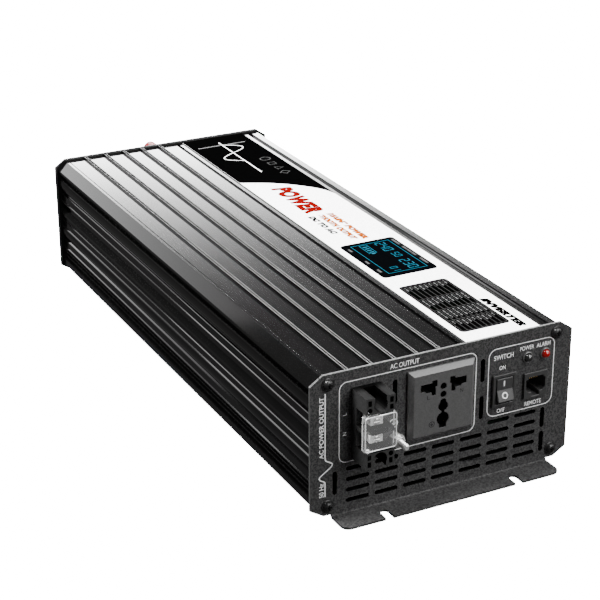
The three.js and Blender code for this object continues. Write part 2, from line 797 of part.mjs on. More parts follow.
// ---------------------------------------------------------------- remote jack and lamps
function remoteJack() {
  const { x, h, width, height, rise, depth } = JACK;
  const bezel = block([x - width / 2, x + width / 2], [-rise, -GAP], [h - height / 2, h + height / 2]);
  const body = block(
    [x - width / 2 + 1, x + width / 2 - 1],
    [-rise + 0.4, depth],
    [h - height / 2 + 1, h + height / 2 - 1],
  );
  const cavity = polygon([
    [x - 5.2, h + 5.3],
    [x - 5.2, h + 4],
    [x - 6.5, h + 4],
    [x - 6.5, h - 2.6],
    [x - 4.6, h - 4.4],
    [x - 2.65, h - 4.4],
    [x - 2.65, h - 7],
    [x + 2.65, h - 7],
    [x + 2.65, h - 4.4],
    [x + 4.6, h - 4.4],
    [x + 6.5, h - 2.6],
    [x + 6.5, h + 4],
    [x + 5.2, h + 4],
    [x + 5.2, h + 5.3],
  ]);
  return cut(joined(bezel, body), alongY(cavity, [-rise - 1, 12]));
}

function lamp([x, h]) {
  const dome = arcPoints([0, -0.9], 2.6, -90, 0, 4).map(([radius, y]) => [radius, y]);
  const profile = [
    ...dome,
    [3.6, -0.9],
    [3.6, -GAP],
    [2.7, -GAP],
    [2.7, 7],
    [0, 7],
  ];
  profile[0] = [0, -3.5];
  return turned(profile, x, h, 14);
}

add('remote_jack', remoteJack(), blackPlastic);
add('power_lamp', lamp(LAMPS.power), glassBlack);
add('alarm_lamp', lamp(LAMPS.alarm), redPlastic);

// ---------------------------------------------------------------- fans
const fanSpan = [BACK - SHEET - GAP - FAN.depth, BACK - SHEET - GAP];
const MOTOR_PLATE = 3; // thickness of the frame's hub plate, on the panel side

function fanFrame(x) {
  const half = FAN.size / 2;
  let frame = block([x - half, x + half], fanSpan, [FAN.h - half, FAN.h + half]);
  frame = cut(frame, rod(x, FAN.h, FAN.bore, [fanSpan[0] - 1, fanSpan[1] + 1], 32));
  const plateSpan = [fanSpan[1] - MOTOR_PLATE, fanSpan[1]];
  const hub = rod(x, FAN.h, FAN.hub + 0.5, plateSpan, 20);
  const axle = rod(x, FAN.h, 1.5, [fanSpan[0] + 8, fanSpan[1] - 1], 10);
  const struts = joined(
    block([x - half + 1, x + half - 1], plateSpan, [FAN.h - 1.2, FAN.h + 1.2]),
    block([x - 1.2, x + 1.2], plateSpan, [FAN.h - half + 1, FAN.h + half - 1]),
  );
  return joined(frame, hub, axle, struts);
}

function fanBlade(x, index) {
  const root = FAN.hub - 1;
  const length = FAN.tip - root;
  const chord = 17;
  const pitch = THREE.MathUtils.degToRad(38);
  const blade = new THREE.BoxGeometry(length, chord, 1.3);
  blade.translate(root + length / 2, 0, 0);
  blade.rotateX(pitch);
  blade.rotateY((index * Math.PI * 2) / FAN.blades);
  blade.translate(x, fanSpan[0] + 11, FAN.h);
  return solid(blade);
}

function fanRotor(x) {
  const hubSpan = [fanSpan[0] + 2, fanSpan[1] - MOTOR_PLATE - 0.8];
  const blades = Array.from({ length: FAN.blades }, (_, index) => fanBlade(x, index));
  const swept = rod(x, FAN.h, FAN.tip, hubSpan, 48);
  const hub = rod(x, FAN.h, FAN.hub, hubSpan, 20);
  const bore = rod(x, FAN.h, 1.5 + GAP, [hubSpan[0] + 5, hubSpan[1] + 1], 10);
  return cut(joined(hub, ...blades).intersect(swept), bore);
}

// A finger guard: wire rings carried by two crossed bars, with an eye at each fan corner.
function fanGuard(x) {
  const wire = 1.6;
  const ringSpan = [BACK + GAP + wire, BACK + GAP + 2 * wire - 0.1];
  const barSpan = [BACK + GAP, BACK + GAP + wire + 0.2];
  const eye = 25;
  const rings = [10, 19, 28].map((radius) =>
    cut(
      rod(x, FAN.h, radius + wire / 2, ringSpan, 20),
      rod(x, FAN.h, radius - wire / 2, [ringSpan[0] - 1, ringSpan[1] + 1], 20),
    ),
  );
  const bars = [-1, 1].map((lean) => {
    const bar = new THREE.BoxGeometry(eye * 2 * Math.SQRT2, barSpan[1] - barSpan[0], wire);
    bar.rotateY(lean * (Math.PI / 4));
    bar.translate(x, (barSpan[0] + barSpan[1]) / 2, FAN.h);
    return solid(bar);
  });
  const eyes = [];
  for (const sideX of [-1, 1]) {
    for (const sideH of [-1, 1]) {
      eyes.push(rod(x + sideX * eye, FAN.h + sideH * eye, 3, barSpan, 8));
    }
  }
  return joined(...bars, ...rings, ...eyes);
}

for (const [side, sign] of [['left', -1], ['right', 1]]) {
  add(`fan_frame_${side}`, fanFrame(sign * FAN.x), blackPlastic);
  add(`fan_rotor_${side}`, fanRotor(sign * FAN.x), blackPlastic);
  add(`fan_guard_${side}`, fanGuard(sign * FAN.x), brightSteel);
}

// ---------------------------------------------------------------- battery terminals
// From the inside out: busbar, insulating bush through the panel, washer, and a hand-turned nut.
const STUD_INSIDE = BACK - 22;
const STUD_OUTSIDE = BACK + 21;

function dcStud(level) {
  const chamfer = 0.8;
  return turned(
    [
      [0, STUD_INSIDE],
      [DC.stud - chamfer, STUD_INSIDE],
      [DC.stud, STUD_INSIDE + chamfer],
      [DC.stud, STUD_OUTSIDE - chamfer],
      [DC.stud - chamfer, STUD_OUTSIDE],
      [0, STUD_OUTSIDE],
    ],
    0, level, 18,
  );
}

function dcBase(level) {
  const bore = DC.stud + GAP;
  return turned(
    [
      [bore, BACK - 8],
      [DC.shank, BACK - 8],
      [DC.shank, BACK + GAP],
      [DC.bush, BACK + GAP],
      [DC.bush, BACK + DC.bushRise - 1],
      [DC.bush - 1, BACK + DC.bushRise],
      [bore, BACK + DC.bushRise],
      [bore, BACK - 8],
    ],
    0, level, 24,
  );
}

const washerSpan = [BACK + DC.bushRise + GAP, BACK + DC.bushRise + GAP + 1.6];

function dcWasher(level) {
  const bore = DC.stud + GAP;
  return turned(
    [
      [bore, washerSpan[0]],
      [DC.washer, washerSpan[0]],
      [DC.washer, washerSpan[1]],
      [bore, washerSpan[1]],
      [bore, washerSpan[0]],
    ],
    0, level, 24,
  );
}

// A stepped hand nut: a wide fluted skirt, and a narrow barrel over the end of the stud.
function dcKnob(level) {
  const { skirt, barrel, flutes } = KNOB;
  const start = washerSpan[1] + GAP;
  const skirtEnd = BACK + KNOB.skirtEnd;
  const hollow = BACK + KNOB.hollow;
  const end = BACK + KNOB.end;
  const bore = DC.stud + GAP;
  const tip = 2; // radius of the rounded end
  let knob = turned(
    [
      [bore, start],
      [skirt, start],
      [skirt, skirtEnd - 1.2],
      [skirt - 1.2, skirtEnd],
      [barrel, skirtEnd + 1.5],
      ...arcPoints([barrel - tip, end - tip], tip, 0, 90, 3),
      [0, end],
      [0, hollow],
      [bore, hollow],
      [bore, start],
    ],
    0, level, 24,
  );
  for (let flute = 0; flute < flutes; flute += 1) {
    const angle = (flute * Math.PI * 2) / flutes;
    const reach = skirt + 0.6;
    const x = reach * Math.sin(angle);
    const h = level + reach * Math.cos(angle);
    knob = cut(knob, rod(x, h, 1.2, [start - 1, skirtEnd + 1], 8));
  }
  return knob;
}

function busbar(level, side) {
  const plate = [STUD_INSIDE + 4, STUD_INSIDE + 6];
  const legX = [side * 8.6, side * 14.6].sort((a, b) => a - b);
  const plateX = [side * -7, side * 14.6].sort((a, b) => a - b);
  const foot = [BOARD_TOP + GAP, BOARD_TOP + GAP + 2];
  const bar = joined(
    block(plateX, plate, [level - 7, level + DC.shank]),
    block(legX, plate, [foot[0], level]),
    block(legX, [MAIN_BOARD.back - 14, plate[1]], foot),
  );
  return cut(bar, rod(0, level, DC.stud + GAP, [plate[0] - 1, plate[1] + 1], 18));
}

for (const [pole, plastic, side] of [['positive', redPlastic, 1], ['negative', blackPlastic, -1]]) {
  const level = DC[pole];
  add(`dc_${pole}_stud`, dcStud(level), brass);
  add(`dc_${pole}_base`, dcBase(level), plastic);
  add(`dc_${pole}_washer`, dcWasher(level), brightSteel);
  add(`dc_${pole}_knob`, dcKnob(level), plastic);
  add(`${pole}_busbar`, busbar(level, side), copper);
}

// ---------------------------------------------------------------- electronics
function mainBoard() {
  const { under, front, back, halfWidth } = MAIN_BOARD;
  return block([-halfWidth, halfWidth], [front, back], [under, BOARD_TOP]);
}

// A ferrite core of two E halves around a wound bobbin.
function transformer(x, y) {
  const low = BOARD_TOP + GAP;
  const core = block([x - 21, x + 21], [y - 9, y + 9], [low + 3, low + 45]);
  const winding = block([x - 14, x + 14], [y - 19, y + 19], [low + 8, low + 40]);
  const bobbinFoot = block([x - 17, x + 17], [y - 20, y + 20], [low, low + 4]);
  const neck = block([x - 12, x + 12], [y - 17, y + 17], [low + 3, low + 9]);
  return joined(core, winding, neck, bobbinFoot);
}

function outputChoke(x, y) {
  const radius = 17;
  const tube = 9;
  const ring = new THREE.TorusGeometry(radius, tube, 8, 18);
  ring.translate(x, y, BOARD_TOP + GAP + tube);
  return solid(ring);
}

function bulkCapacitor(x, y) {
  const radius = 15;
  const low = BOARD_TOP + GAP;
  const profile = [
    [0, low],
    [radius, low],
    [radius, low + 3],
    [radius - 0.8, low + 4],
    [radius, low + 5],
    [radius, low + 49],
    [radius - 1, low + 50],
    [0, low + 50],
  ].map(([r, z]) => new THREE.Vector2(r, z));
  const can = new THREE.LatheGeometry(profile, 16);
  can.rotateX(Math.PI / 2);
  can.translate(x, y, 0);
  return solid(can);
}

// A finned bar that the power transistors are clamped to.
function heatsink(x, side, y) {
  const low = BOARD_TOP + GAP;
  const spine = block([x, x + side * 4].sort((a, b) => a - b), y, [low, low + 48]);
  const fins = Array.from({ length: 5 }, (_, index) => {
    const level = low + 4 + index * 10;
    return block([x, x + side * 13].sort((a, b) => a - b), y, [level, level + 1.8]);
  });
  return joined(spine, ...fins);
}

function controlBoard() {
  const low = BOARD_TOP + GAP;
  const card = block([-6, -4.4], [118, 198], [low, low + 46]);
  const chips = [128, 152, 176].map((y) => block([-4.6, -2.4], [y, y + 12], [low + 18, low + 30]));
  return joined(card, ...chips);
}

function lead(points, radius, steps = 13) {
  const sides = 6;
  const section = new THREE.Shape(
    Array.from({ length: sides }, (_, index) => {
      const angle = (index * Math.PI * 2) / sides;
      return new THREE.Vector2(radius * Math.cos(angle), radius * Math.sin(angle));
    }),
  );
  const path = new THREE.CatmullRomCurve3(points.map((point) => new THREE.Vector3(...point)));
  return solid(new THREE.ExtrudeGeometry(section, { steps, bevelEnabled: false, extrudePath: path }));
}

function ribbon(x, y, levels) {
  const [low, high] = levels;
  const outline = polygon([
    [y, low],
    [y + 0.8, low],
    [y + 0.8, high],
    [y, high],
  ]);
  return alongX(outline, x);
}

add('main_board', mainBoard(), boardGreen);
[-42, 2, 46].forEach((x, index) => {
  add(`transformer_${index + 1}`, transformer(x, 268), ferrite);
});
add('output_choke', outputChoke(-45, 92), copperCoil);
add('bulk_capacitor_1', bulkCapacitor(30, 78), capacitorSleeve);
add('bulk_capacitor_2', bulkCapacitor(30, 216), capacitorSleeve);
add('input_heatsink', heatsink(60, 1, [300, 372]), sinkAluminium);
add('output_heatsink', heatsink(-60, -1, [130, 240]), sinkAluminium);
add('control_board', controlBoard(), boardGreen);

const terminalRear = TERMINAL.depth + GAP;
const leadFoot = BOARD_TOP + GAP;
add(
  'live_lead',
  lead([
    [TERMINAL.x, terminalRear + 0.3, CLAMP_LEVELS.live],
    [TERMINAL.x, 22, CLAMP_LEVELS.live],
    [-58, 36, 48],
    [-64, 44, 28],
    [-64, 46, leadFoot + 0.6],
  ], 1.8),
  leadRed,
);
add(
  'neutral_lead',
  lead([
    [TERMINAL.x, terminalRear + 0.3, CLAMP_LEVELS.neutral],
    [TERMINAL.x, 19, CLAMP_LEVELS.neutral],
    [-46, 32, 38],
    [-42, 42, 26],
    [-42, 44, leadFoot + 0.6],
  ], 1.8),
  leadBlack,
);
add('display_ribbon', ribbon([30, 48], 130, [leadFoot, 80.2 - GAP]), ribbonGrey);
add(
  'switch_lead',
  lead([
    [SWITCH.x, SWITCH.depth + 7 + GAP, SWITCH.h],
    [SWITCH.x + 1, 36, SWITCH.h - 3],
    [50, 44, 36],
    [54, 50, 24],
    [54, 51, leadFoot + 0.6],
  ], 1.4),
  leadBlack,
);

export default inverter;
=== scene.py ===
"""Looks of the power inverter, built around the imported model.

Lengths are written in millimetres and points as (x, y, h), as on a drawing of the housing: y runs
back from the front panel's outer face, h runs up from the end panels' lower edge. at() turns such
a point into the row frame, in metres.
"""
import json
import math

import bmesh
import bpy
from mathutils import Matrix, Vector

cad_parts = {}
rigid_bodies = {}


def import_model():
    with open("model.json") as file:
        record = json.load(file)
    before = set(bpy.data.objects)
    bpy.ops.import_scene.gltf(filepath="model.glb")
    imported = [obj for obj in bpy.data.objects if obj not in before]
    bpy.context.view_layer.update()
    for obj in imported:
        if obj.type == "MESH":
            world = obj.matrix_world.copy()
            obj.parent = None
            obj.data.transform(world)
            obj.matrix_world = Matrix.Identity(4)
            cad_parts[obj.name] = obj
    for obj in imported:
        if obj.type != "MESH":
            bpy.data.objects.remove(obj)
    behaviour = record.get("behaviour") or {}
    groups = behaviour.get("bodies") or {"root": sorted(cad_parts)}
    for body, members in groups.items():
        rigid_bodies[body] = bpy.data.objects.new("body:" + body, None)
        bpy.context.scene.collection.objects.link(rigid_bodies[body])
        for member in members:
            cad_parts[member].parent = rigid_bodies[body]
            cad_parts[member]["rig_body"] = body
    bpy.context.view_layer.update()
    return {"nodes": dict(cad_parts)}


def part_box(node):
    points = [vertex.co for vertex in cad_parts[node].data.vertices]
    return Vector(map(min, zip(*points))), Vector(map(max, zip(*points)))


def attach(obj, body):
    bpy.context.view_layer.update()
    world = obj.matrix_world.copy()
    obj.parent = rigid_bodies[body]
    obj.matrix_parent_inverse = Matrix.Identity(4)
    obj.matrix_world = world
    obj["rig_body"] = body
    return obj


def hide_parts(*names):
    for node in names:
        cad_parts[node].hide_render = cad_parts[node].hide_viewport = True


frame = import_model()
nodes = frame["nodes"]

MM = 0.001
PANEL_TOP = 88
PANEL_SIDE = 86
PANEL_CORNER = 168.5  # |x| + h on the sloping corners
SOCKET_X, SOCKET_H, SOCKET_FACE = -3.4, 57, -4.2
SOCKET_FIELD = 17.5  # half of the square that holds the pin apertures
TERMINAL_X, TERMINAL_FACE = -51.3, -17.3
WELL_HALF = 5.1  # half the width of the terminal block's wells
SHELL_START = 1.9
RIB_CREST = 87.45  # the ribs' crests are painted lighter above this level, a painted highlight
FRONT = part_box("lower_shell")[0].y - SHELL_START * MM
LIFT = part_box("front_panel")[1].z - PANEL_TOP * MM
BACK = round((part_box("upper_shell")[1].y - FRONT) / MM + SHELL_START, 2)
MIDDLE_REACH = (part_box("rear_panel")[1].y - FRONT) / 2
MIDDLE = FRONT + MIDDLE_REACH


def at(x, y, h):
    return Vector((x * MM, FRONT + y * MM, LIFT + h * MM))


# --- materials
def shader(name, colour, roughness, **sockets):
    material = bpy.data.materials.new(name)
    material.use_nodes = True
    socket(material, "Base Color").default_value = (*colour, 1)
    socket(material, "Roughness").default_value = roughness
    for name, value in sockets.items():
        socket(material, name.replace("_", " ")).default_value = value
    return material


def socket(material, name):
    return material.node_tree.nodes["Principled BSDF"].inputs[name]


def own_coordinates(tree, kind):
    """The object's own coordinates ("Object") or its surface's direction ("Normal")."""
    return tree.nodes.new("ShaderNodeTexCoord").outputs[kind]


def noise(material, scale, stretch=(1, 1, 1), detail=3):
    """A noise texture in the object's own coordinates; scale is in features per metre."""
    tree = material.node_tree
    mapping = tree.nodes.new("ShaderNodeMapping")
    mapping.inputs["Scale"].default_value = stretch
    texture = tree.nodes.new("ShaderNodeTexNoise")
    texture.inputs["Scale"].default_value = scale
    texture.inputs["Detail"].default_value = detail
    tree.links.new(own_coordinates(tree, "Object"), mapping.inputs["Vector"])
    tree.links.new(mapping.outputs["Vector"], texture.inputs["Vector"])
    return texture


def ramp(material, source, stops):
    """Maps a texture's value through colour stops: (position, colour)."""
    node = material.node_tree.nodes.new("ShaderNodeValToRGB")
    while len(node.color_ramp.elements) < len(stops):
        node.color_ramp.elements.new(0.5)
    for element, (position, colour) in zip(node.color_ramp.elements, stops):
        element.position = position
        element.color = (*colour, 1)
    material.node_tree.links.new(source, node.inputs["Fac"])
    return node.outputs["Color"]


def grey(level):
    return (level, level, level)


def mottle(material, texture, low, high, start=0.35, end=0.65):
    """Varies the base colour between two colours."""
    colour = ramp(material, texture.outputs["Fac"], [(start, low), (end, high)])
    material.node_tree.links.new(colour, socket(material, "Base Color"))


def vary_roughness(material, texture, low, high):
    tree = material.node_tree
    value = tree.nodes.new("ShaderNodeMapRange")
    value.inputs["To Min"].default_value = low
    value.inputs["To Max"].default_value = high
    tree.links.new(texture.outputs["Fac"], value.inputs["Value"])
    tree.links.new(value.outputs["Result"], socket(material, "Roughness"))


def emboss(material, texture, depth):
    """Bump of that depth, in millimetres."""
    tree = material.node_tree
    bump = tree.nodes.new("ShaderNodeBump")
    bump.inputs["Distance"].default_value = depth * MM
    bump.inputs["Strength"].default_value = 1
    tree.links.new(texture.outputs["Fac"], bump.inputs["Height"])
    tree.links.new(bump.outputs["Normal"], socket(material, "Normal"))


def calculate(material, operation, first, second):
    """A math node; the operands are numbers or other nodes' outputs."""
    tree = material.node_tree
    node = tree.nodes.new("ShaderNodeMath")
    node.operation = operation
    for target, operand in zip(node.inputs, (first, second)):
        if isinstance(operand, (int, float)):
            target.default_value = operand
        else:
            tree.links.new(operand, target)
    return node.outputs["Value"]


def axes(material, kind="Object"):
    """The x, y and z of the object's own coordinates, in metres, or of its surface's direction."""
    tree = material.node_tree
    split = tree.nodes.new("ShaderNodeSeparateXYZ")
    tree.links.new(own_coordinates(tree, kind), split.inputs["Vector"])
    return split.outputs


def distance(material, place, middle):
    """How far a coordinate is from the middle, whichever side it is on."""
    return calculate(material, "ABSOLUTE", calculate(material, "SUBTRACT", place, middle), 0)


def everywhere(material, *masks):
    """1 where every mask is 1, and 0 elsewhere."""
    mask = masks[0]
    for other in masks[1:]:
        mask = calculate(material, "MULTIPLY", mask, other)
    return mask


def paint(material, mask, colour):
    """Changes the base colour to another colour where the mask is 1."""
    tree = material.node_tree
    base = socket(material, "Base Color")
    blend = tree.nodes.new("ShaderNodeMix")
    blend.data_type = "RGBA"
    blend.inputs["B"].default_value = (*colour, 1)
    tree.links.new(mask, blend.inputs["Factor"])
    tree.links.new(base.links[0].from_socket, blend.inputs["A"])
    tree.links.new(blend.outputs["Result"], base)


def make_anodised():
    """Satin black aluminium with a painted highlight: lighter grey and rougher along the crests of the
    top's ribs.
    """
    material = shader("anodised_black", grey(0.0012), 0.08, IOR=1.5)
    cloud = noise(material, 40)
    vary_roughness(material, cloud, 0.07, 0.09)
    mottle(material, cloud, grey(0.001), grey(0.0014))
    height = calculate(material, "SUBTRACT", axes(material)["Z"], LIFT)
    # painted highlight: the rib crests are painted a lighter grey
    crest_highlight = calculate(material, "GREATER_THAN", height, RIB_CREST * MM)
    paint(material, crest_highlight, grey(0.012))
    rough = socket(material, "Roughness")
    duller = calculate(material, "MULTIPLY", crest_highlight, 0.35)
    duller = calculate(material, "ADD", duller, rough.links[0].from_socket)
    material.node_tree.links.new(duller, rough)
    return material


HIGHLIGHT_EDGE = 0.15  # how far in from the panels' outer edges the coat is painted lighter grey, a painted highlight
FIELD_INSET = 1.2  # from the outer edges to where the openings may start
SHEET_SKIN = 0.12  # depth of a sheet's faces; what lies deeper is the wall of an opening


def make_powder_coat():
    """Dark textured coat, painted lighter grey along the end panels' outer edges as a painted highlight,
    and painted black in their openings as painted shade.
    """
    material = shader("powder_coat", grey(0.032), 0.55, Specular_IOR_Level=0.2)
    speckle = noise(material, 1000, detail=4)
    mottle(material, speckle, grey(0.02), grey(0.06), 0.4, 0.6)
    emboss(material, speckle, 0.08)
    place = axes(material)
    side = calculate(material, "ABSOLUTE", place["X"], 0)
    height = calculate(material, "SUBTRACT", place["Z"], LIFT)
    past_side = calculate(material, "SUBTRACT", side, PANEL_SIDE * MM)
    corner = calculate(material, "ADD", side, height)
    past_corner = calculate(material, "SUBTRACT", corner, PANEL_CORNER * MM)
    past_corner = calculate(material, "MULTIPLY", past_corner, 0.7)
    past = calculate(material, "MAXIMUM", past_side, past_corner)
    # painted highlight: a lighter grey band along the panels' outer edges
    paint(material, calculate(material, "GREATER_THAN", past, -HIGHLIGHT_EDGE * MM), grey(0.06))
    from_middle = distance(material, place["Y"], MIDDLE)
    # painted shade: the walls inside the openings are painted near black
    opening_shade = everywhere(
        material,
        calculate(material, "LESS_THAN", from_middle, MIDDLE_REACH - SHEET_SKIN * MM),
        calculate(material, "LESS_THAN", past, -FIELD_INSET * MM),
        calculate(material, "LESS_THAN", height, (PANEL_TOP - FIELD_INSET) * MM),
    )
    paint(material, opening_shade, grey(0.0005))
    return material


def make_plastic(name, colour, roughness, depth=0.02, **sockets):
    material = shader(name, colour, roughness, **sockets)
    texture = noise(material, 1200)
    low = tuple(channel * 0.85 for channel in colour)
    high = tuple(min(1, channel * 1.15) for channel in colour)
    mottle(material, texture, low, high)
    emboss(material, texture, depth)
    return material


def make_socket_plastic():
    """Dark grey plastic, painted black inside the pin apertures as painted shade."""
    material = make_plastic("socket_grey", grey(0.07), 0.42)
    place = axes(material)
    beside = distance(material, place["X"], SOCKET_X * MM)
    above = distance(material, place["Z"], at(0, 0, SOCKET_H).z)
    # painted shade: the insides of the pin apertures are painted near black
    aperture_shade = everywhere(
        material,
        calculate(material, "LESS_THAN", beside, SOCKET_FIELD * MM),
        calculate(material, "LESS_THAN", above, SOCKET_FIELD * MM),
        calculate(material, "GREATER_THAN", place["Y"], at(0, SOCKET_FACE + 0.5, 0).y),
    )
    paint(material, aperture_shade, grey(0.0005))
    return material


def make_terminal_plastic():
    """Black plastic, painted darker on its upward faces and painted black in its wells, both as painted
    shade.
    """
    material = make_plastic("terminal_black", grey(0.034), 0.5, Specular_IOR_Level=0.05)
    # painted shade: faces that point upwards are painted darker
    paint(material, calculate(material, "GREATER_THAN", axes(material, "Normal")["Z"], 0.4), grey(0.003))
    place = axes(material)
    beside = distance(material, place["X"], TERMINAL_X * MM)
    # painted shade: the insides of the wells are painted near black
    well_shade = everywhere(
        material,
        calculate(material, "LESS_THAN", beside, WELL_HALF * MM),
        calculate(material, "GREATER_THAN", place["Y"], at(0, TERMINAL_FACE + 0.4, 0).y),
    )
    paint(material, well_shade, grey(0.0005))
    return material


def make_metal(name, colour, roughness, grain=900, stretch=(1, 1, 1), depth=0.01, metallic=1.0):
    material = shader(name, colour, roughness, Metallic=metallic)
    texture = noise(material, grain, stretch)
    vary_roughness(material, texture, roughness * 0.7, roughness * 1.3)
    low = tuple(channel * 0.9 for channel in colour)
    mottle(material, texture, low, colour)
    emboss(material, texture, depth)
    return material


def make_ink(name, colour):
    """A matt film or ink."""
    return make_plastic(name, colour, 0.6, depth=0.001, Specular_IOR_Level=0.0)


def make_glowing(name, colour, strength, dark, shine):
    """A lit colour; dark is the share of the colour that shows when it isn't lit."""
    base = tuple(channel * dark for channel in colour)
    material = make_plastic(
        name, base, 0.1, depth=0.001, Emission_Strength=strength, Specular_IOR_Level=shine,
    )
    socket(material, "Emission Color").default_value = (*colour, 1)
    return material


ANODISED = make_anodised()
POWDER_COAT = make_powder_coat()
SOCKET_GREY = make_socket_plastic()
TERMINAL_BLACK = make_terminal_plastic()
SATIN_BLACK = make_plastic("satin_black", grey(0.033), 0.34)
BLACK_PLASTIC = make_plastic("black_plastic", grey(0.01), 0.42, Specular_IOR_Level=0.2)
GLOSS_BLACK = make_plastic("gloss_black", grey(0.02), 0.2, depth=0.003)
RED_PLASTIC = make_plastic("red_plastic", (0.12, 0.0006, 0.0014), 0.34, Specular_IOR_Level=0.25)
FAN_BLACK = make_plastic("fan_black", grey(0.012), 0.5)
BLACK_SCREW = make_metal("black_oxide", grey(0.02), 0.28, metallic=0.4)
BRIGHT = make_metal("bright_zinc", (0.88, 0.88, 0.87), 0.24, metallic=0.7)
ROUGH_ZINC = make_metal("rough_zinc", (0.95, 0.95, 0.94), 0.4, grain=1400, depth=0.3, metallic=0.2)
GUARD_WIRE = make_metal("guard_wire", (0.7, 0.7, 0.7), 0.2)
BRASS = make_metal("brass", (0.6, 0.44, 0.2), 0.28)
COPPER = make_metal("copper", (0.7, 0.34, 0.2), 0.3, stretch=(0.1, 1, 1))
ALUMINIUM = make_metal("plain_aluminium", (0.6, 0.6, 0.62), 0.35, stretch=(1, 0.03, 1))
WHITE_FILM = make_ink("label_white", grey(0.88))
INK_BLACK = make_ink("ink_black", grey(0.0004))
INK_RED = make_ink("ink_red", (0.07, 0.0002, 0.0008))
INK_ORANGE = make_ink("ink_orange", (0.17, 0.032, 0.001))
INK_DIM = make_ink("ink_dim", grey(0.2))
INK_MID = make_ink("ink_mid", grey(0.05))
INK_PALE = make_ink("ink_pale", grey(0.022))
INK_WHITE = make_plastic("ink_white", grey(0.85), 0.5, depth=0.004)
WINDOW = make_plastic(
    "display_window_black", (0.0005, 0.0006, 0.0008), 0.12, depth=0.001, Specular_IOR_Level=0.0,
)
CYAN = make_glowing("display_cyan", (0.03, 0.28, 0.42), 1.5, 0.02, 0.0)
LAMP_RED = make_glowing("lamp_red", (0.4, 0.0003, 0.0006), 0.1, 0.5, 1.0)
LAMP_RING = make_plastic("lamp_ring", grey(0.09), 0.2, depth=0.003)
LAMP_DARK = make_plastic("lamp_dark", grey(0.012), 0.1, depth=0.001, Specular_IOR_Level=1.0)
BOARD = make_plastic("circuit_board", (0.006, 0.03, 0.012), 0.4)
FERRITE = make_plastic("ferrite", grey(0.03), 0.6, depth=0.05)
COIL = make_metal("enamelled_copper", (0.4, 0.12, 0.04), 0.3, grain=500, stretch=(1, 1, 6), depth=0.2)
SLEEVE = make_plastic("capacitor_sleeve", (0.01, 0.015, 0.035), 0.35)
LEAD_RED = make_plastic("lead_red", (0.3, 0.01, 0.01), 0.45)
LEAD_BLACK = make_plastic("lead_black", grey(0.01), 0.45)
RIBBON = make_plastic("ribbon_grey", grey(0.25), 0.5)


def make_clear(name, opacity, level):
    material = shader(name, grey(level), 0.08, IOR=1.49, Alpha=opacity)
    texture = noise(material, 60)
    vary_roughness(material, texture, 0.05, 0.14)
    return material


CLEAR = make_clear("clear_sheet", 0.09, 0.6)
CLEAR_EDGE = make_clear("clear_edge", 0.9, 0.95)


# --- mesh helpers
def add(name, data):
    """A new object in the scene."""
    thing = bpy.data.objects.new(name, data)
    bpy.context.scene.collection.objects.link(thing)
    return thing


def link(name, mesh, material, body="housing"):
    """A piece of one material that rides on a body."""
    mesh.materials.clear()
    mesh.materials.append(material)
    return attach(add(name, mesh), body)


def mesh_piece(name, points, faces, material, body="housing", smooth=False):
    """points are (x, y, h) in millimetres."""
    mesh = bpy.data.meshes.new(name)
    mesh.from_pydata([at(*point) for point in points], [], faces)
    mesh.validate()
    tidy = bmesh.new()
    tidy.from_mesh(mesh)
    bmesh.ops.remove_doubles(tidy, verts=tidy.verts, dist=1e-7)
    bmesh.ops.recalc_face_normals(tidy, faces=tidy.faces)
    tidy.to_mesh(mesh)
    tidy.free()
    if smooth:
        mesh.shade_smooth()
    return link(name, mesh, material, body)


def soften(piece, width, segments=2):
    """Rounds the edges that turn by more than 28 degrees."""
    weld = piece.modifiers.new("weld", "WELD")
    weld.merge_threshold = 2e-6
    flat = piece.modifiers.new("flat", "DECIMATE")
    flat.decimate_type = "DISSOLVE"
    flat.angle_limit = math.radians(0.5)
    bevel = piece.modifiers.new("bevel", "BEVEL")
    bevel.width = width * MM
    bevel.segments = segments
    bevel.limit_method = "ANGLE"
    bevel.angle_limit = math.radians(28)
    bevel.harden_normals = True
    bevel.use_clamp_overlap = True
    return piece


def arc(centre, radius, start, end, steps):
    """Points of an arc; start and end are in degrees."""
    points = []
    for step in range(steps + 1):
        angle = math.radians(start + (end - start) * step / steps)
        points.append((centre[0] + radius * math.cos(angle), centre[1] + radius * math.sin(angle)))
    return points


def rounded(left, right, low, high, radius):
    """The outline of a rectangle with round corners, anticlockwise."""
    outline = []
    for number, (x, y) in enumerate((
        (right - radius, low + radius), (right - radius, high - radius),
        (left + radius, high - radius), (left + radius, low + radius),
    )):
        outline += arc((x, y), radius, 90 * number - 90, 90 * number, 6)
    return outline


def prism(name, outline, span, axis, material, body="housing", edge=0.0, segments=2):
    """An outline filled from span[0] to span[1] along an axis: x (y, h), y (x, h) or h (x, y)."""
    place = {
        "x": lambda a, b, depth: (depth, a, b),
        "y": lambda a, b, depth: (a, depth, b),
        "h": lambda a, b, depth: (a, b, depth),
    }[axis]
    count = len(outline)
    points = [place(a, b, depth) for depth in span for a, b in outline]
    faces = [tuple(range(count)), tuple(range(count, 2 * count))]
    for index in range(count):
        following = (index + 1) % count
        faces.append((index, following, count + following, count + index))
    piece = mesh_piece(name, points, faces, material, body)
    if edge:
        soften(piece, edge, segments)
    return piece


def box(name, x, y, h, material, body="housing", edge=0.2):
    outline = [(x[0], h[0]), (x[1], h[0]), (x[1], h[1]), (x[0], h[1])]
    return prism(name, outline, y, "y", material, body, edge)


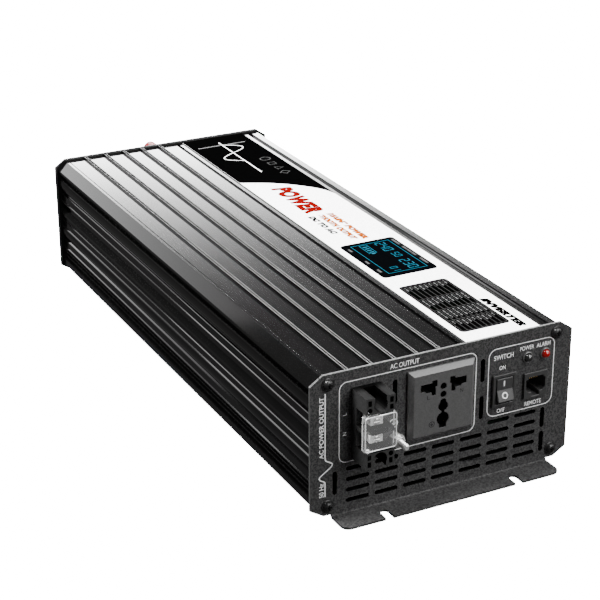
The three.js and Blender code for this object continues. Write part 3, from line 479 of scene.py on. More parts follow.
def turned(name, profile, x, h, material, body="housing", sides=40, flute=None):
    """A turned piece on an axis along Y. profile is (radius, y); flute(angle, radius, y) may cut it."""
    rings = []
    points = []
    for radius, y in profile:
        if radius < 1e-6:
            rings.append([len(points)] * sides)
            points.append((x, y, h))
            continue
        ring = []
        for side in range(sides):
            angle = 2 * math.pi * side / sides
            reach = radius - (flute(angle, radius, y) if flute else 0)
            ring.append(len(points))
            points.append((x + reach * math.sin(angle), y, h + reach * math.cos(angle)))
        rings.append(ring)
    faces = []
    for first, second in zip(rings, rings[1:]):
        for side in range(sides):
            following = (side + 1) % sides
            corners = [first[side], first[following], second[following], second[side]]
            face = tuple(dict.fromkeys(corners))
            if len(face) > 2:
                faces.append(face)
    return mesh_piece(name, points, faces, material, body, smooth=True)


def crease(piece, angle=35):
    """Smooth shading that keeps edges sharper than the angle."""
    piece.data.shade_smooth()
    piece.data.set_sharp_from_angle(angle=math.radians(angle))
    return piece


def baked(piece):
    """The piece with its modifiers applied."""
    graph = bpy.context.evaluated_depsgraph_get()
    mesh = bpy.data.meshes.new_from_object(piece.evaluated_get(graph))
    piece.modifiers.clear()
    piece.data = mesh
    return piece


def carve(piece, *cutters):
    """Cuts the cutters out of the piece and removes them."""
    for cutter in cutters:
        boolean = piece.modifiers.new("cut", "BOOLEAN")
        boolean.object = cutter
        boolean.solver = "EXACT"
        baked(piece)
        bpy.data.objects.remove(cutter)
    return piece


def add_line(curve, points, closed):
    """Adds a polyline, in metres, to a curve."""
    spline = curve.splines.new("POLY")
    spline.points.add(len(points) - 1)
    for target, point in zip(spline.points, points):
        target.co = (*point, 1)
    spline.use_cyclic_u = closed


def as_mesh(name, curve):
    """A curve or text turned into a mesh; the curve is removed."""
    holder = add(name, curve)
    bpy.context.view_layer.update()
    graph = bpy.context.evaluated_depsgraph_get()
    mesh = bpy.data.meshes.new_from_object(holder.evaluated_get(graph))
    bpy.data.objects.remove(holder)
    bpy.data.curves.remove(curve)
    return mesh


def tube(name, points, radius, material, body="housing", closed=False):
    """A round wire through the points."""
    curve = bpy.data.curves.new(name, "CURVE")
    curve.dimensions = "3D"
    curve.bevel_depth = radius * MM
    curve.bevel_resolution = 4
    curve.use_fill_caps = True
    add_line(curve, [at(*point) for point in points], closed)
    mesh = as_mesh(name, curve)
    mesh.shade_smooth()
    return link(name, mesh, material, body)


def joined(name, pieces):
    """Pieces of one body made into one, keeping their materials."""
    whole = bmesh.new()
    materials = []
    for piece in pieces:
        if piece.modifiers:
            baked(piece)
        start = len(whole.faces)
        whole.from_mesh(piece.data)
        whole.faces.ensure_lookup_table()
        for face in whole.faces[start:]:
            used = piece.data.materials[face.material_index]
            if used not in materials:
                materials.append(used)
            face.material_index = materials.index(used)
    mesh = bpy.data.meshes.new(name)
    whole.to_mesh(mesh)
    whole.free()
    body = pieces[0]["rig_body"]
    for piece in pieces:
        bpy.data.objects.remove(piece)
    for used in materials:
        mesh.materials.append(used)
    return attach(add(name, mesh), body)


# --- printing
# A print lies on a face: it is drawn flat in (a, b) and laid on the face by a matrix.
INK = 0.04  # thickness of a print, in millimetres


def on_front(y=0.0):
    return Matrix.Translation(at(0, y - INK, 0)) @ Matrix.Rotation(math.pi / 2, 4, "X")


def on_rear(y):
    turn = Matrix.Rotation(math.pi, 4, "Z") @ Matrix.Rotation(math.pi / 2, 4, "X")
    return Matrix.Translation(at(0, y + INK, 0)) @ turn


def on_top(h):
    return Matrix.Translation(at(0, 0, h + INK))


def flat_piece(name, outlines, place, material, body="housing"):
    """Filled outlines on a face. An outline inside another one is a hole."""
    curve = bpy.data.curves.new(name, "CURVE")
    curve.dimensions = "2D"
    curve.fill_mode = "BOTH"
    for outline in outlines:
        add_line(curve, [(a * MM, b * MM, 0) for a, b in outline], True)
    mesh = as_mesh(name, curve)
    mesh.transform(place)
    return link(name, mesh, material, body)


def bar(left, right, low, high):
    return [(left, low), (right, low), (right, high), (left, high)]


def bars_piece(name, bars, place, material):
    """Four-cornered shapes on a face, each of them one flat face."""
    mesh = bpy.data.meshes.new(name)
    points = [(a * MM, b * MM, 0) for corners in bars for a, b in corners]
    mesh.from_pydata(points, [], [tuple(range(4 * index, 4 * index + 4)) for index in range(len(bars))])
    mesh.transform(place)
    return link(name, mesh, material)


def frame_bars(left, right, low, high, line):
    """The four sides of a ruled frame."""
    return [
        bar(left, right, low, low + line),
        bar(left, right, high - line, high),
        bar(left, left + line, low + line, high - line),
        bar(right - line, right, low + line, high - line),
    ]


def lettering(name, words, area, place, material, turn=0, weight=0.0, slant=0.0, gap=1.0):
    """Words that fill the area (left, right, low, high) of a face; turn is in quarter turns."""
    curve = bpy.data.curves.new(name, "FONT")
    curve.body = words
    curve.offset = weight
    curve.shear = slant
    curve.space_character = gap
    mesh = as_mesh(name, curve)
    mesh.transform(Matrix.Rotation(turn * math.pi / 2, 4, "Z"))
    xs = [vertex.co.x for vertex in mesh.vertices]
    ys = [vertex.co.y for vertex in mesh.vertices]
    left, right, low, high = area
    scale_x = (right - left) * MM / (max(xs) - min(xs))
    scale_y = (high - low) * MM / (max(ys) - min(ys))
    for vertex in mesh.vertices:
        vertex.co.x = left * MM + (vertex.co.x - min(xs)) * scale_x
        vertex.co.y = low * MM + (vertex.co.y - min(ys)) * scale_y
        vertex.co.z = 0
    mesh.transform(place)
    return link(name, mesh, material)


def stroke(points, width):
    """The outline of a line of that width through the points."""
    left = []
    right = []
    for index, (a, b) in enumerate(points):
        before = Vector(points[max(index - 1, 0)])
        after = Vector(points[min(index + 1, len(points) - 1)])
        along = (after - before).normalized()
        left.append((a - along.y * width / 2, b + along.x * width / 2))
        right.append((a + along.y * width / 2, b - along.x * width / 2))
    return left + right[::-1]


def smooth_line(points):
    """A smooth curve through the points (Catmull-Rom)."""
    steps = 8
    result = []
    padded = [points[0], *points, points[-1]]
    for index in range(1, len(padded) - 2):
        p0, p1, p2, p3 = (Vector(p) for p in padded[index - 1:index + 3])
        for step in range(steps):
            t = step / steps
            point = 0.5 * (
                2 * p1
                + (p2 - p0) * t
                + (2 * p0 - 5 * p1 + 4 * p2 - p3) * t * t
                + (3 * p1 - p0 - 3 * p2 + p3) * t ** 3
            )
            result.append((point.x, point.y))
    result.append(tuple(points[-1]))
    return result


# --- CAD pieces kept as they are
KEPT = (
    (ANODISED, 0.14, ("upper_shell", "lower_shell")),
    (POWDER_COAT, 0.16, ("front_panel", "rear_panel")),
    (SOCKET_GREY, 0.3, ("ac_socket",)),
    (TERMINAL_BLACK, 0.25, ("terminal_block",)),
    (SATIN_BLACK, 0.3, ("switch_frame", "remote_jack")),
    (BRIGHT, 0.3, ("earth_nut",)),
    (BRIGHT, 0.25, ("dc_positive_washer", "dc_negative_washer")),
    (FAN_BLACK, 0.4, ("fan_frame_left", "fan_frame_right")),
    (RED_PLASTIC, 0.3, ("dc_positive_base",)),
    (GLOSS_BLACK, 0.3, ("dc_negative_base",)),
    (BRASS, 0.1, ("dc_positive_stud", "dc_negative_stud")),
    (BRASS, 0.1, ("socket_contact_live", "socket_contact_neutral", "socket_contact_earth")),
    (COPPER, 0.2, ("positive_busbar", "negative_busbar")),
    (BLACK_PLASTIC, 0.2, ("display_module",)),
    (BOARD, 0, ("main_board", "control_board")),
    (FERRITE, 0.6, ("transformer_1", "transformer_2", "transformer_3")),
    (COIL, 0, ("output_choke",)),
    (SLEEVE, 0.3, ("bulk_capacitor_1", "bulk_capacitor_2")),
    (ALUMINIUM, 0.2, ("input_heatsink", "output_heatsink")),
    (LEAD_RED, 0, ("live_lead",)),
    (LEAD_BLACK, 0, ("neutral_lead", "switch_lead")),
    (RIBBON, 0, ("display_ribbon",)),
)
for kept_material, kept_edge, kept_names in KEPT:
    for kept_name in kept_names:
        nodes[kept_name].data.materials.clear()
        nodes[kept_name].data.materials.append(kept_material)
        if kept_edge:
            soften(nodes[kept_name], kept_edge)


# --- case screws
def pan_head(name, x, h, out, radius=4.1, height=2.5, shank=8):
    """A Phillips pan head on a flange; out(rise) gives y at that distance out of the face."""
    profile = [(0, height)]
    for level, share in ((0.98, 0.24), (0.9, 0.44), (0.74, 0.59), (0.52, 0.68), (0.32, 0.72), (0.26, 0.74)):
        profile.append((radius * share, height * level))
    profile += [(radius * 0.94, height * 0.2), (radius, height * 0.12), (radius, 0)]
    profile += [(radius * 0.42, 0), (radius * 0.42, -shank), (0, -shank)]
    head = turned(name, [(r, out(rise)) for r, rise in profile], x, h, BLACK_SCREW)
    arm = radius * 0.11
    reach = radius * 0.42
    cross = [
        (-arm, -reach), (arm, -reach), (arm, -arm), (reach, -arm), (reach, arm), (arm, arm),
        (arm, reach), (-arm, reach), (-arm, arm), (-reach, arm), (-reach, -arm), (-arm, -arm),
    ]
    outline = [(x + a, h + b) for a, b in cross]
    cutter = prism(name + "_cross", outline, (out(height * 0.3), out(height + 1)), "y", BLACK_SCREW)
    carve(head, cutter)
    return crease(head)


CORNERS = [(-75, 82), (75, 82), (-75, 6), (75, 6)]
GUARD_FOOT = 1.9  # the fans' screws press on the guards this far out of the rear panel


def from_front(rise):
    return -rise


def from_rear(rise):
    return BACK + rise


def from_guard(rise):
    return from_rear(GUARD_FOOT + rise)


for corner, (screw_x, screw_h) in enumerate(CORNERS, 1):
    for end, side, out in (("front", 1, from_front), ("rear", -1, from_rear)):
        screw = pan_head(f"{end}_case_screw_{corner}", side * screw_x, screw_h, out)
        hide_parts(f"{end}_screw_{corner}")


# --- label and display
LABEL_TOP = 86.9
WINDOW_TOP = 87.5
LABEL_LEFT, LABEL_RIGHT = 15.5, 65.3
LABEL_FRONT, LABEL_REAR = 2.2, BACK - 2.2
WINDOW_AREA = (20, 58.9, 106, 164.7)


def grown(area, amount):
    left, right, low, high = area
    return (left - amount, right + amount, low - amount, high + amount)


label = flat_piece(
    "printed_label",
    [
        rounded(LABEL_LEFT, LABEL_RIGHT, LABEL_FRONT, LABEL_REAR, 0.8),
        rounded(*grown(WINDOW_AREA, 0.15), 2.6),
    ],
    on_top(LABEL_TOP - INK),
    WHITE_FILM,
)
label_body = label.modifiers.new("film", "SOLIDIFY")
label_body.thickness = 0.35 * MM
label_body.offset = -1
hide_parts("top_label")

window = prism("display_glass", rounded(*WINDOW_AREA, 2.5), (86.5, WINDOW_TOP), "h", WINDOW, edge=0.25)
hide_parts("display_window")

on_label = on_top(LABEL_TOP)
over_print = on_top(LABEL_TOP + INK)

SWEEP = [(15.5, 306), (33.3, 296.5), (46.7, 285.8), (57.3, 273.8), (62.7, 264.5), (65.3, 255.8)]
flat_piece(
    "label_black_field",
    [smooth_line(SWEEP) + [(LABEL_RIGHT, LABEL_REAR), (LABEL_LEFT, LABEL_REAR)]],
    on_label,
    INK_BLACK,
)

WAVE_AXIS = 39.6
WAVE_START = 389.5


def wave_glyph():
    points = []
    for step in range(49):
        share = step / 24
        reach = 12.4 if share <= 1 else 11.6
        points.append((WAVE_AXIS + reach * math.sin(math.pi * share), WAVE_START - 20.2 * share))
    return points


for glyph, line, width in (
    ("axis", [(WAVE_AXIS, 320.5), (WAVE_AXIS, 395.8)], 0.7),
    ("cross", [(20, WAVE_START), (58.7, WAVE_START)], 0.5),
    ("wave", wave_glyph(), 0.5),
):
    ink = INK_DIM if glyph == "cross" else INK_WHITE
    flat_piece(f"label_wave_{glyph}", [stroke(line, width)], over_print, ink)


def plain_marks():
    """Four plain outlines: a circle, a square, a triangle and a diamond."""
    centre_x = 54.7
    shapes = []
    for centre_y, sides, lean in ((346, 24, 0), (334.5, 4, 45), (323.5, 3, 0), (313, 4, 0)):
        for radius in (4.2, 3.7):
            shapes.append([
                (centre_x + radius * math.cos(angle), centre_y + radius * 0.85 * math.sin(angle))
                for angle in (math.radians(lean) + 2 * math.pi * side / sides for side in range(sides))
            ])
    return shapes


flat_piece("label_plain_marks", plain_marks(), over_print, INK_MID)

LABEL_WORDS = [
    ("label_large_word", "POWER", (29, 43.7, 228.5, 285), INK_RED, 0.085, 0.2),
    ("label_orange_word_1", "MAINS POWER", (41, 45.8, 170, 223), INK_ORANGE, 0.12, 0.15),
    ("label_orange_word_2", "SMOOTH OUTPUT", (34, 38.8, 173, 223), INK_ORANGE, 0.12, 0.15),
    ("label_dark_word", "DC TO AC", (26.7, 31.6, 187, 223), INK_BLACK, 0.11, 0.15),
    ("label_front_word", "INVERTER", (54.6, 59.8, 7.3, 52.7), INK_BLACK, 0.12, 0.3),
]
for word_name, words, word_area, word_ink, word_weight, word_slant in LABEL_WORDS:
    lettering(
        word_name, words, word_area, on_label, word_ink,
        turn=-1, weight=word_weight, slant=word_slant, gap=1.14,
    )

TABLE = (20, 53.6, 15.3, 89.7)
TABLE_ROWS = 9
TABLE_COLUMNS = (88.1, 67.1, 49.1, 33.1, 16.9)
TABLE_SIDES = (21.6, 52)
TABLE_PITCH = (TABLE_SIDES[1] - TABLE_SIDES[0]) / TABLE_ROWS
flat_piece("label_table_field", [rounded(*TABLE, 3)], on_label, INK_BLACK)


def table_lines():
    """The ruled lines of the table."""
    left, right = TABLE_SIDES
    half = 0.17
    shapes = [bar(left, right, y - half, y + half) for y in TABLE_COLUMNS]
    for start, end in zip(TABLE_COLUMNS, TABLE_COLUMNS[1:]):
        for row in range(TABLE_ROWS + 1):
            x = left + row * TABLE_PITCH
            shapes.append(bar(x - half, x + half, end + half, start - half))
    return shapes


def table_words():
    """Dashes that stand for the table's words."""
    shapes = []
    for row in range(TABLE_ROWS):
        centre = TABLE_SIDES[0] + (row + 0.5) * TABLE_PITCH
        for column, (start, end) in enumerate(zip(TABLE_COLUMNS, TABLE_COLUMNS[1:])):
            y = start - 1.6
            for mark in range(2 + (row * 3 + column) % 3):
                length = 0.9 + 0.8 * ((row * 5 + column * 3 + mark * 7) % 4)
                stop = y - length
                if stop > end + 1.4:
                    shapes.append(bar(centre - 0.45, centre + 0.45, stop, y))
                y = stop - 0.9
    return shapes


bars_piece("label_table_lines", table_lines(), over_print, INK_PALE)
bars_piece("label_table_words", table_words(), over_print, INK_MID)

on_window = on_top(WINDOW_TOP)


def digit_bars(digits, reading_start, base, height):
    """Seven-segment figures read towards the front, with their tops towards +X."""
    segments = {"0": "abcdef", "1": "bc", "2": "abdeg", "3": "abcdg", "4": "bcfg", "5": "acdfg"}
    width = height * 0.55
    thick = height * 0.085
    gap = thick * 0.35
    shapes = []
    for place, digit in enumerate(digits):
        rear = reading_start - place * (width + height * 0.22)
        front = rear - width
        middle = base + height / 2
        top = base + height
        bars = {
            "a": bar(top - thick, top, front + gap, rear - gap),
            "g": bar(middle - thick / 2, middle + thick / 2, front + gap + thick, rear - gap - thick),
            "d": bar(base, base + thick, front + gap, rear - gap),
            "f": bar(middle + gap, top - gap, rear - thick, rear),
            "b": bar(middle + gap, top - gap, front, front + thick),
            "e": bar(base + gap, middle - gap, rear - thick, rear),
            "c": bar(base + gap, middle - gap, front, front + thick),
        }
        shapes += [bars[segment] for segment in segments[digit]]
    return shapes


bars_piece("display_border", frame_bars(25.7, 53.6, 110, 160.4, 0.4), on_window, CYAN)
bars_piece(
    "display_battery",
    frame_bars(31, 36.7, 144.5, 159, 0.4) + [bar(32.6, 35.1, 143.2, 144.5)]
    + [bar(32.2, 35.5, y, y + 1.2) for y in (146, 149, 152, 155)],
    on_window,
    CYAN,
)
for reading, digits, reading_start, base, height in (
    ("volts_in", "240", 158.5, 42, 7),
    ("rate", "50", 139.5, 43.4, 5.4),
    ("volts_out", "230", 127, 42, 7),
    ("load", "01", 119, 31, 5),
):
    bars_piece(f"display_{reading}", digit_bars(digits, reading_start, base, height), on_window, CYAN)


def margin_marks():
    """Dashes where the window's margins name the readings."""
    shapes = []
    for centre, starts in ((22.6, (157, 134.5, 119)), (56.3, (160, 155, 146, 140, 134, 124, 119))):
        for start in starts:
            for mark in range(3):
                y = start - mark * 1.7
                shapes.append(bar(centre - 0.75, centre + 0.75, y - 1.2, y))
    return shapes


bars_piece("display_margin_marks", margin_marks(), on_window, INK_MID)

# --- front panel printing
printed_front = on_front()


def frame_line(name, left, right, low, high, radius, width):
    """A printed line about a group of fittings."""
    outlines = [
        rounded(left - grow, right + grow, low - grow, high + grow, radius + grow)
        for grow in (width / 2, -width / 2)
    ]
    return flat_piece(name, outlines, printed_front, INK_WHITE)


frame_line("print_output_frame", -67.8, 20.6, 31.3, 81, 4.5, 0.55)
frame_line("print_switch_frame", 29.1, 74, 37, 79.9, 5, 0.55)

FRONT_WORDS = [
    ("output", "AC OUTPUT", (-36, -17.3, 82.6, 85.7), 0),
    ("switch", "SWITCH", (32.5, 45.8, 72.6, 75.7), 0),
    ("power", "POWER", (50.1, 59.8, 75, 77.7), 0),
    ("alarm", "ALARM", (61.5, 71.1, 75, 77.7), 0),
    ("on", "ON", (36.5, 40.7, 65.9, 68.5), 0),
    ("off", "OFF", (35.9, 41.3, 38.5, 41.1), 0),
    ("remote", "REMOTE", (55.2, 66.6, 38.5, 41.2), 0),
    ("live", "L", (-65.6, -63.2, 60.6, 62.3), 1),
    ("neutral", "N", (-65.6, -63.2, 48.2, 50.3), 1),
    ("side_upper", "AC POWER OUTPUT", (-80.3, -77.5, 37, 75.1), 1),
    ("side_lower", "50 Hz", (-80.3, -77.5, 12.3, 21.3), 1),
]
for word_name, words, word_area, word_turn in FRONT_WORDS:
    lettering(
        f"print_{word_name}", words, word_area, printed_front, INK_WHITE,
        turn=word_turn, weight=0.012,
    )

SIDE_LINE = -76.6
swing = smooth_line([
    (SIDE_LINE, 37.5), (SIDE_LINE + 0.5, 35.2), (-73, 33.2), (-72, 31.8), (-73.6, 30),
    (-78.6, 26.6), (-80.3, 25), (-79.5, 23.5), (SIDE_LINE - 0.4, 21.9), (SIDE_LINE, 20.5),
])
side_line = [(SIDE_LINE, 76.8), (SIDE_LINE, 50), *swing, (SIDE_LINE, 16), (SIDE_LINE, 12.3)]
flat_piece("print_side_line", [stroke(side_line, 0.75)], printed_front, INK_WHITE)


def print_earth(name, centre_x, centre_h, radius, line, place, ink):
    """An earth sign: a ring about an upright and three bars."""
    circle = [arc((centre_x, centre_h), radius + grow, 0, 345, 23) for grow in (line / 2, -line / 2)]
    upright = bar(centre_x - line / 2, centre_x + line / 2, centre_h, centre_h + radius * 0.72)
    shapes = [circle, [upright]]
    for reach, drop in ((0.62, line / 2), (0.4, radius * 0.38), (0.18, radius * 0.66)):
        low = centre_h - drop
        shapes.append([bar(centre_x - radius * reach, centre_x + radius * reach, low, low + line)])
    return joined(name, [flat_piece(f"{name}_part", shape, place, ink) for shape in shapes])


print_earth("print_earth_sign", -33.2, 48.4, 2.6, 0.55, printed_front, INK_WHITE)

on_socket = on_front(SOCKET_FACE)
lettering("socket_mark_live", "L", (-14.1, -12.5, 60.4, 62.8), on_socket, BLACK_PLASTIC)
lettering("socket_mark_neutral", "N", (7.6, 9.6, 60.4, 62.8), on_socket, BLACK_PLASTIC)
print_earth("socket_mark_earth", -10.6, 44.2, 1.7, 0.35, on_socket, BLACK_PLASTIC)

# --- wire terminals and earth stud
CLAMP_X = -52.1


def around(centre, reach):
    return (centre - reach, centre + reach)


def wire_clamp(level):
    """A saddle plate with bent ends, pulled down by a slotted screw."""
    wide = around(level, 2.3)
    saddle = box("saddle", around(CLAMP_X, 4.1), (-14.2, -13.2), wide, ROUGH_ZINC, edge=0.35)
    cheeks = [
        box("cheek", around(CLAMP_X + side * 3.7, 0.4), (-13.6, -9.4), wide, ROUGH_ZINC, edge=0.25)
        for side in (-1, 1)
    ]
    profile = [(0, -15), (1.5, -14.95), (2, -14.7), (2.1, -14.2), (1.4, -14), (1.4, -7), (0, -7)]
    head = turned("head", profile, CLAMP_X, level, BRIGHT)
    carve(head, box("slit", around(CLAMP_X, 3), (-16, -14.5), around(level, 0.25), BRIGHT, edge=0))
    seat = box("seat", around(CLAMP_X, 4.7), (-8, -6.4), around(level, 3.4), ROUGH_ZINC, edge=0.3)
    return [saddle, *cheeks, crease(head), seat]


for clamp_name, clamp_level in (("live", 60.8), ("neutral", 49.9)):
    clamp = joined(f"wire_clamp_{clamp_name}", wire_clamp(clamp_level))
    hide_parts(f"terminal_screw_{clamp_name}")


THREAD_PITCH = 0.7


def threads(start, end, radius):
    """Profile points of a threaded rod from y = start to y = end."""
    profile = []
    count = int(abs(end - start) / THREAD_PITCH)
    step = (end - start) / count
    for turn in range(count):
        y = start + turn * step
        profile += [(radius * 0.86, y), (radius, y + step * 0.4), (radius, y + step * 0.6)]
    return profile


EARTH_X, EARTH_H = -32.7, 39.4
stud = crease(turned(
    "earth_stud_threaded",
    [(0, -14.8), (1.3, -14.8), (1.72, -14.3), *threads(-14.2, 2, 2),
     (1.9, 2.2), (4, 2.2), (4, 4.6), (0, 4.6)],
    EARTH_X, EARTH_H, BRIGHT, sides=24,
), 25)
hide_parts("earth_stud")
lock_nut_outline = arc((EARTH_X, EARTH_H), 3.6, 12, 312, 5)
prism("earth_lock_nut", lock_nut_outline, (-7.4, -5.2), "y", BRIGHT, edge=0.35)
crease(turned("earth_washer", [(2, -5.2), (4.1, -5.2), (4.25, -4.9), (4.1, -4.4), (2, -4.4)],
              EARTH_X, EARTH_H, BRIGHT))

# --- clear cover over the terminals
COVER_LEFT, COVER_RIGHT, COVER_LOW, COVER_HIGH = -61.7, -41.3, 44.4, 66.4
COVER_FACE = -18.5
HINGE_X, HINGE_Y = -58.4, -15.6


def clear_cover():
    """A clear plate with a rim and side walls, on pins in two ears along its left edge."""
    plate = prism(
        "cover_plate",
        rounded(COVER_LEFT + 0.3, COVER_RIGHT - 0.3, COVER_LOW + 0.3, COVER_HIGH - 0.3, 1.4),
        (COVER_FACE + 0.1, COVER_FACE + 1.1), "y", CLEAR, "cover_flap", edge=0.2,
    )
    rim_line = [
        (x, COVER_FACE + 0.55, h)
        for x, h in rounded(COVER_LEFT + 0.5, COVER_RIGHT - 0.5, COVER_LOW + 0.5, COVER_HIGH - 0.5, 1.5)
    ]
    rim = tube("cover_rim", rim_line, 0.32, CLEAR_EDGE, "cover_flap", closed=True)
    walls = [
        box("cover_wall", (left, left + 0.7), (COVER_FACE + 0.6, COVER_FACE + 4),
            (COVER_LOW + 0.6, COVER_HIGH - 0.6), CLEAR, "cover_flap", edge=0.2)
        for left in (COVER_LEFT, COVER_RIGHT - 0.7)
    ]
    lips = [
        tube("cover_lip", [(x, COVER_FACE + 3.8, COVER_LOW + 0.8), (x, COVER_FACE + 3.8, COVER_HIGH - 0.8)],
             0.28, CLEAR_EDGE, "cover_flap")
        for x in (COVER_LEFT + 0.35, COVER_RIGHT - 0.35)
    ]
    pieces = [plate, rim, *walls, *lips]
    for end, level in ((-1, COVER_LOW), (1, COVER_HIGH)):
        pin = arc((HINGE_X, HINGE_Y), 0.85, 0, 330, 11)
        levels = sorted((level - end * 0.6, level + end * 1.7))
        pieces.append(prism("cover_pin", pin, levels, "h", CLEAR_EDGE, "cover_flap"))
        ear = [(COVER_LEFT + 0.5, COVER_FACE + 0.6), (HINGE_X + 1.1, COVER_FACE + 0.6),
               (HINGE_X + 1.1, HINGE_Y + 0.6), (HINGE_X, HINGE_Y + 1.1), (COVER_LEFT + 0.5, HINGE_Y + 1.1)]
        levels = sorted((level - end * 0.1, level - end))
        pieces.append(prism("cover_ear", ear, levels, "h", CLEAR, "cover_flap"))
    return joined("clear_terminal_cover", pieces)


cover = clear_cover()
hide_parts("terminal_cover")

# --- rocker
SWITCH_X, SWITCH_H = 39.3, 53.3
ROCKER_PIVOT = 2.2
ROCKER_TILT = 10
ROCKER_WIDTH = 10.9
ROCKER_HALF = 7.1
ROCKER_FACE = -4.6


def rocker_point(depth, rise):
    """A point of the rocker's section, tilted as the switch stands when it is on."""
    turn = Matrix.Rotation(math.radians(-ROCKER_TILT), 2)
    y, rise = turn @ Vector((depth, rise))
    return y + ROCKER_PIVOT, rise + SWITCH_H


def rocker_outline():
    slope = math.tan(math.radians(ROCKER_TILT))
    end = ROCKER_FACE - ROCKER_HALF * slope
    section = [
        (ROCKER_FACE, 0), (end, ROCKER_HALF), (-1.2, ROCKER_HALF + 0.1), (3.2, ROCKER_HALF * 0.72),
        (4.2, 2), (4.2, -2), (3.2, -ROCKER_HALF * 0.72), (-1.2, -ROCKER_HALF - 0.1), (end, -ROCKER_HALF),
    ]
    return [rocker_point(*point) for point in section]


rocker = prism("rocker_cap", rocker_outline(), (SWITCH_X - ROCKER_WIDTH / 2, SWITCH_X + ROCKER_WIDTH / 2),
               "x", SATIN_BLACK, "rocker", edge=0.45, segments=3)
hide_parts("switch_rocker")


def on_rocker(rise, lean):
    """The flat of one rocker face, with its origin that far above the rocker's middle."""
    slope = math.tan(math.radians(ROCKER_TILT))
    y, h = rocker_point(ROCKER_FACE - abs(rise) * slope, rise)
    away = Vector((0, -math.cos(math.radians(lean)), math.sin(math.radians(lean))))
    tilt = Matrix.Rotation(math.pi / 2 - math.radians(lean), 4, "X")
    return Matrix.Translation(at(SWITCH_X - 0.5, y, h) + away * INK * MM) @ tilt


flat_piece("rocker_mark_on", [bar(-0.45, 0.45, -1.7, 1.7)], on_rocker(3.9, 0), INK_WHITE, "rocker")
flat_piece("rocker_mark_off", [arc((0, 0), 2, 0, 348, 29), arc((0, 0), 1.25, 0, 348, 29)],
           on_rocker(-3.4, 2 * ROCKER_TILT), INK_WHITE, "rocker")

# --- remote jack contacts, lamps
JACK_X, JACK_H = 61.15, 52
CONTACT_BENDS = ((9, 2.6), (3, 3.4), (1.6, 2.8), (6.5, 0.2))
joined("jack_contacts", [
    tube("contact", [(JACK_X + offset, y, JACK_H + rise) for y, rise in CONTACT_BENDS], 0.16, BRASS)
    for offset in (-3.2, -1.9, -0.64, 0.64, 1.9, 3.2)
])

for lamp_name, lamp_x, lamp_h, lamp_material in (
    ("power_lamp", 55.4, 70.3, LAMP_DARK),
    ("alarm_lamp", 67.5, 70.4, LAMP_RED),
):
    dome = [(0, -3.5), *arc((0, -0.9), 2.6, -80, 0, 10), (2.6, 2), (2.4, 6), (0, 6)]
    lens = crease(turned(f"{lamp_name}_lens", dome, lamp_x, lamp_h, lamp_material), 50)
    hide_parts(lamp_name)
    lip = [(2.7, -0.1), (2.7, -0.9), (2.95, -1.2), (3.3, -1.1), (3.6, -0.6), (3.65, -0.02)]
    turned(f"{lamp_name}_ring", lip, lamp_x, lamp_h, LAMP_RING)

# --- fans
FAN_H = 44
FAN_DEPTH = 25
FAN_HOLE = 25  # half the distance between the fans' screws
FAN_FRONT = BACK - SHELL_START - FAN_DEPTH
BLADES = 7


def fan_blade(x, number):
    """A twisted blade that fills the frame's depth between the hub and the duct."""
    base = 2 * math.pi * number / BLADES
    across, along = 6, 9
    points = []
    for row in range(across + 1):
        share = row / across
        radius = 12 + 15.1 * share
        for column in range(along + 1):
            chord = column / along
            angle = base + (chord - 0.5) * 13 / radius + 0.22 * share
            y = FAN_FRONT + 4 + 15 * chord + 2 * math.sin(math.pi * chord)
            points.append((x + radius * math.sin(angle), y, FAN_H + radius * math.cos(angle)))
    faces = []
    for row in range(across):
        for column in range(along):
            first = row * (along + 1) + column
            faces.append((first, first + 1, first + along + 2, first + along + 1))
    blade = mesh_piece("blade", points, faces, FAN_BLACK, smooth=True)
    shell = blade.modifiers.new("thickness", "SOLIDIFY")
    shell.thickness = 1.1 * MM
    shell.offset = 0
    return blade


def fan_rotor(side, x):
    """A hub with its blades."""
    section = [(0, 2.2), (10.8, 2.2), (12.1, 2.8), (12.5, 4), (12.5, 20.9), (11.8, 21.1), (2, 21.1)]
    profile = [(radius, FAN_FRONT + y) for radius, y in section]
    hub = crease(turned("hub", profile, x, FAN_H, FAN_BLACK, sides=48))
    rotor = joined(f"fan_impeller_{side}", [hub] + [fan_blade(x, number) for number in range(BLADES)])
    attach(rotor, f"{side}_rotor")
    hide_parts(f"fan_rotor_{side}")


def circle(x, h, radius, y, steps=48):
    return [(a, y, b) for a, b in arc((x, h), radius, 0, 360 - 360 / steps, steps - 1)]


def fan_guard(side, x):
    """Wire rings on two crossed bars, with an eye round each of the four screws."""
    wire = 0.75
    ring_y = BACK + 2.6
    bar_y = BACK + 1.15
    pieces = [
        tube("ring", circle(x, FAN_H, radius, ring_y), wire, GUARD_WIRE, closed=True)
        for radius in (6, 10, 14.5, 19, 23.5, 28)
    ]
    for lean in (-1, 1):
        reach = FAN_HOLE - 1.8
        pieces.append(tube("bar", [(x - reach, bar_y, FAN_H - lean * reach),
                                   (x + reach, bar_y, FAN_H + lean * reach)], wire + 0.1, GUARD_WIRE))
    for side_x in (-1, 1):
        for side_h in (-1, 1):
            loop = circle(x + side_x * FAN_HOLE, FAN_H + side_h * FAN_HOLE, 2.4, bar_y, 20)
            pieces.append(tube("eye", loop, wire, GUARD_WIRE, closed=True))
    guard = joined(f"wire_guard_{side}", pieces)
    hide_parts(f"fan_guard_{side}")


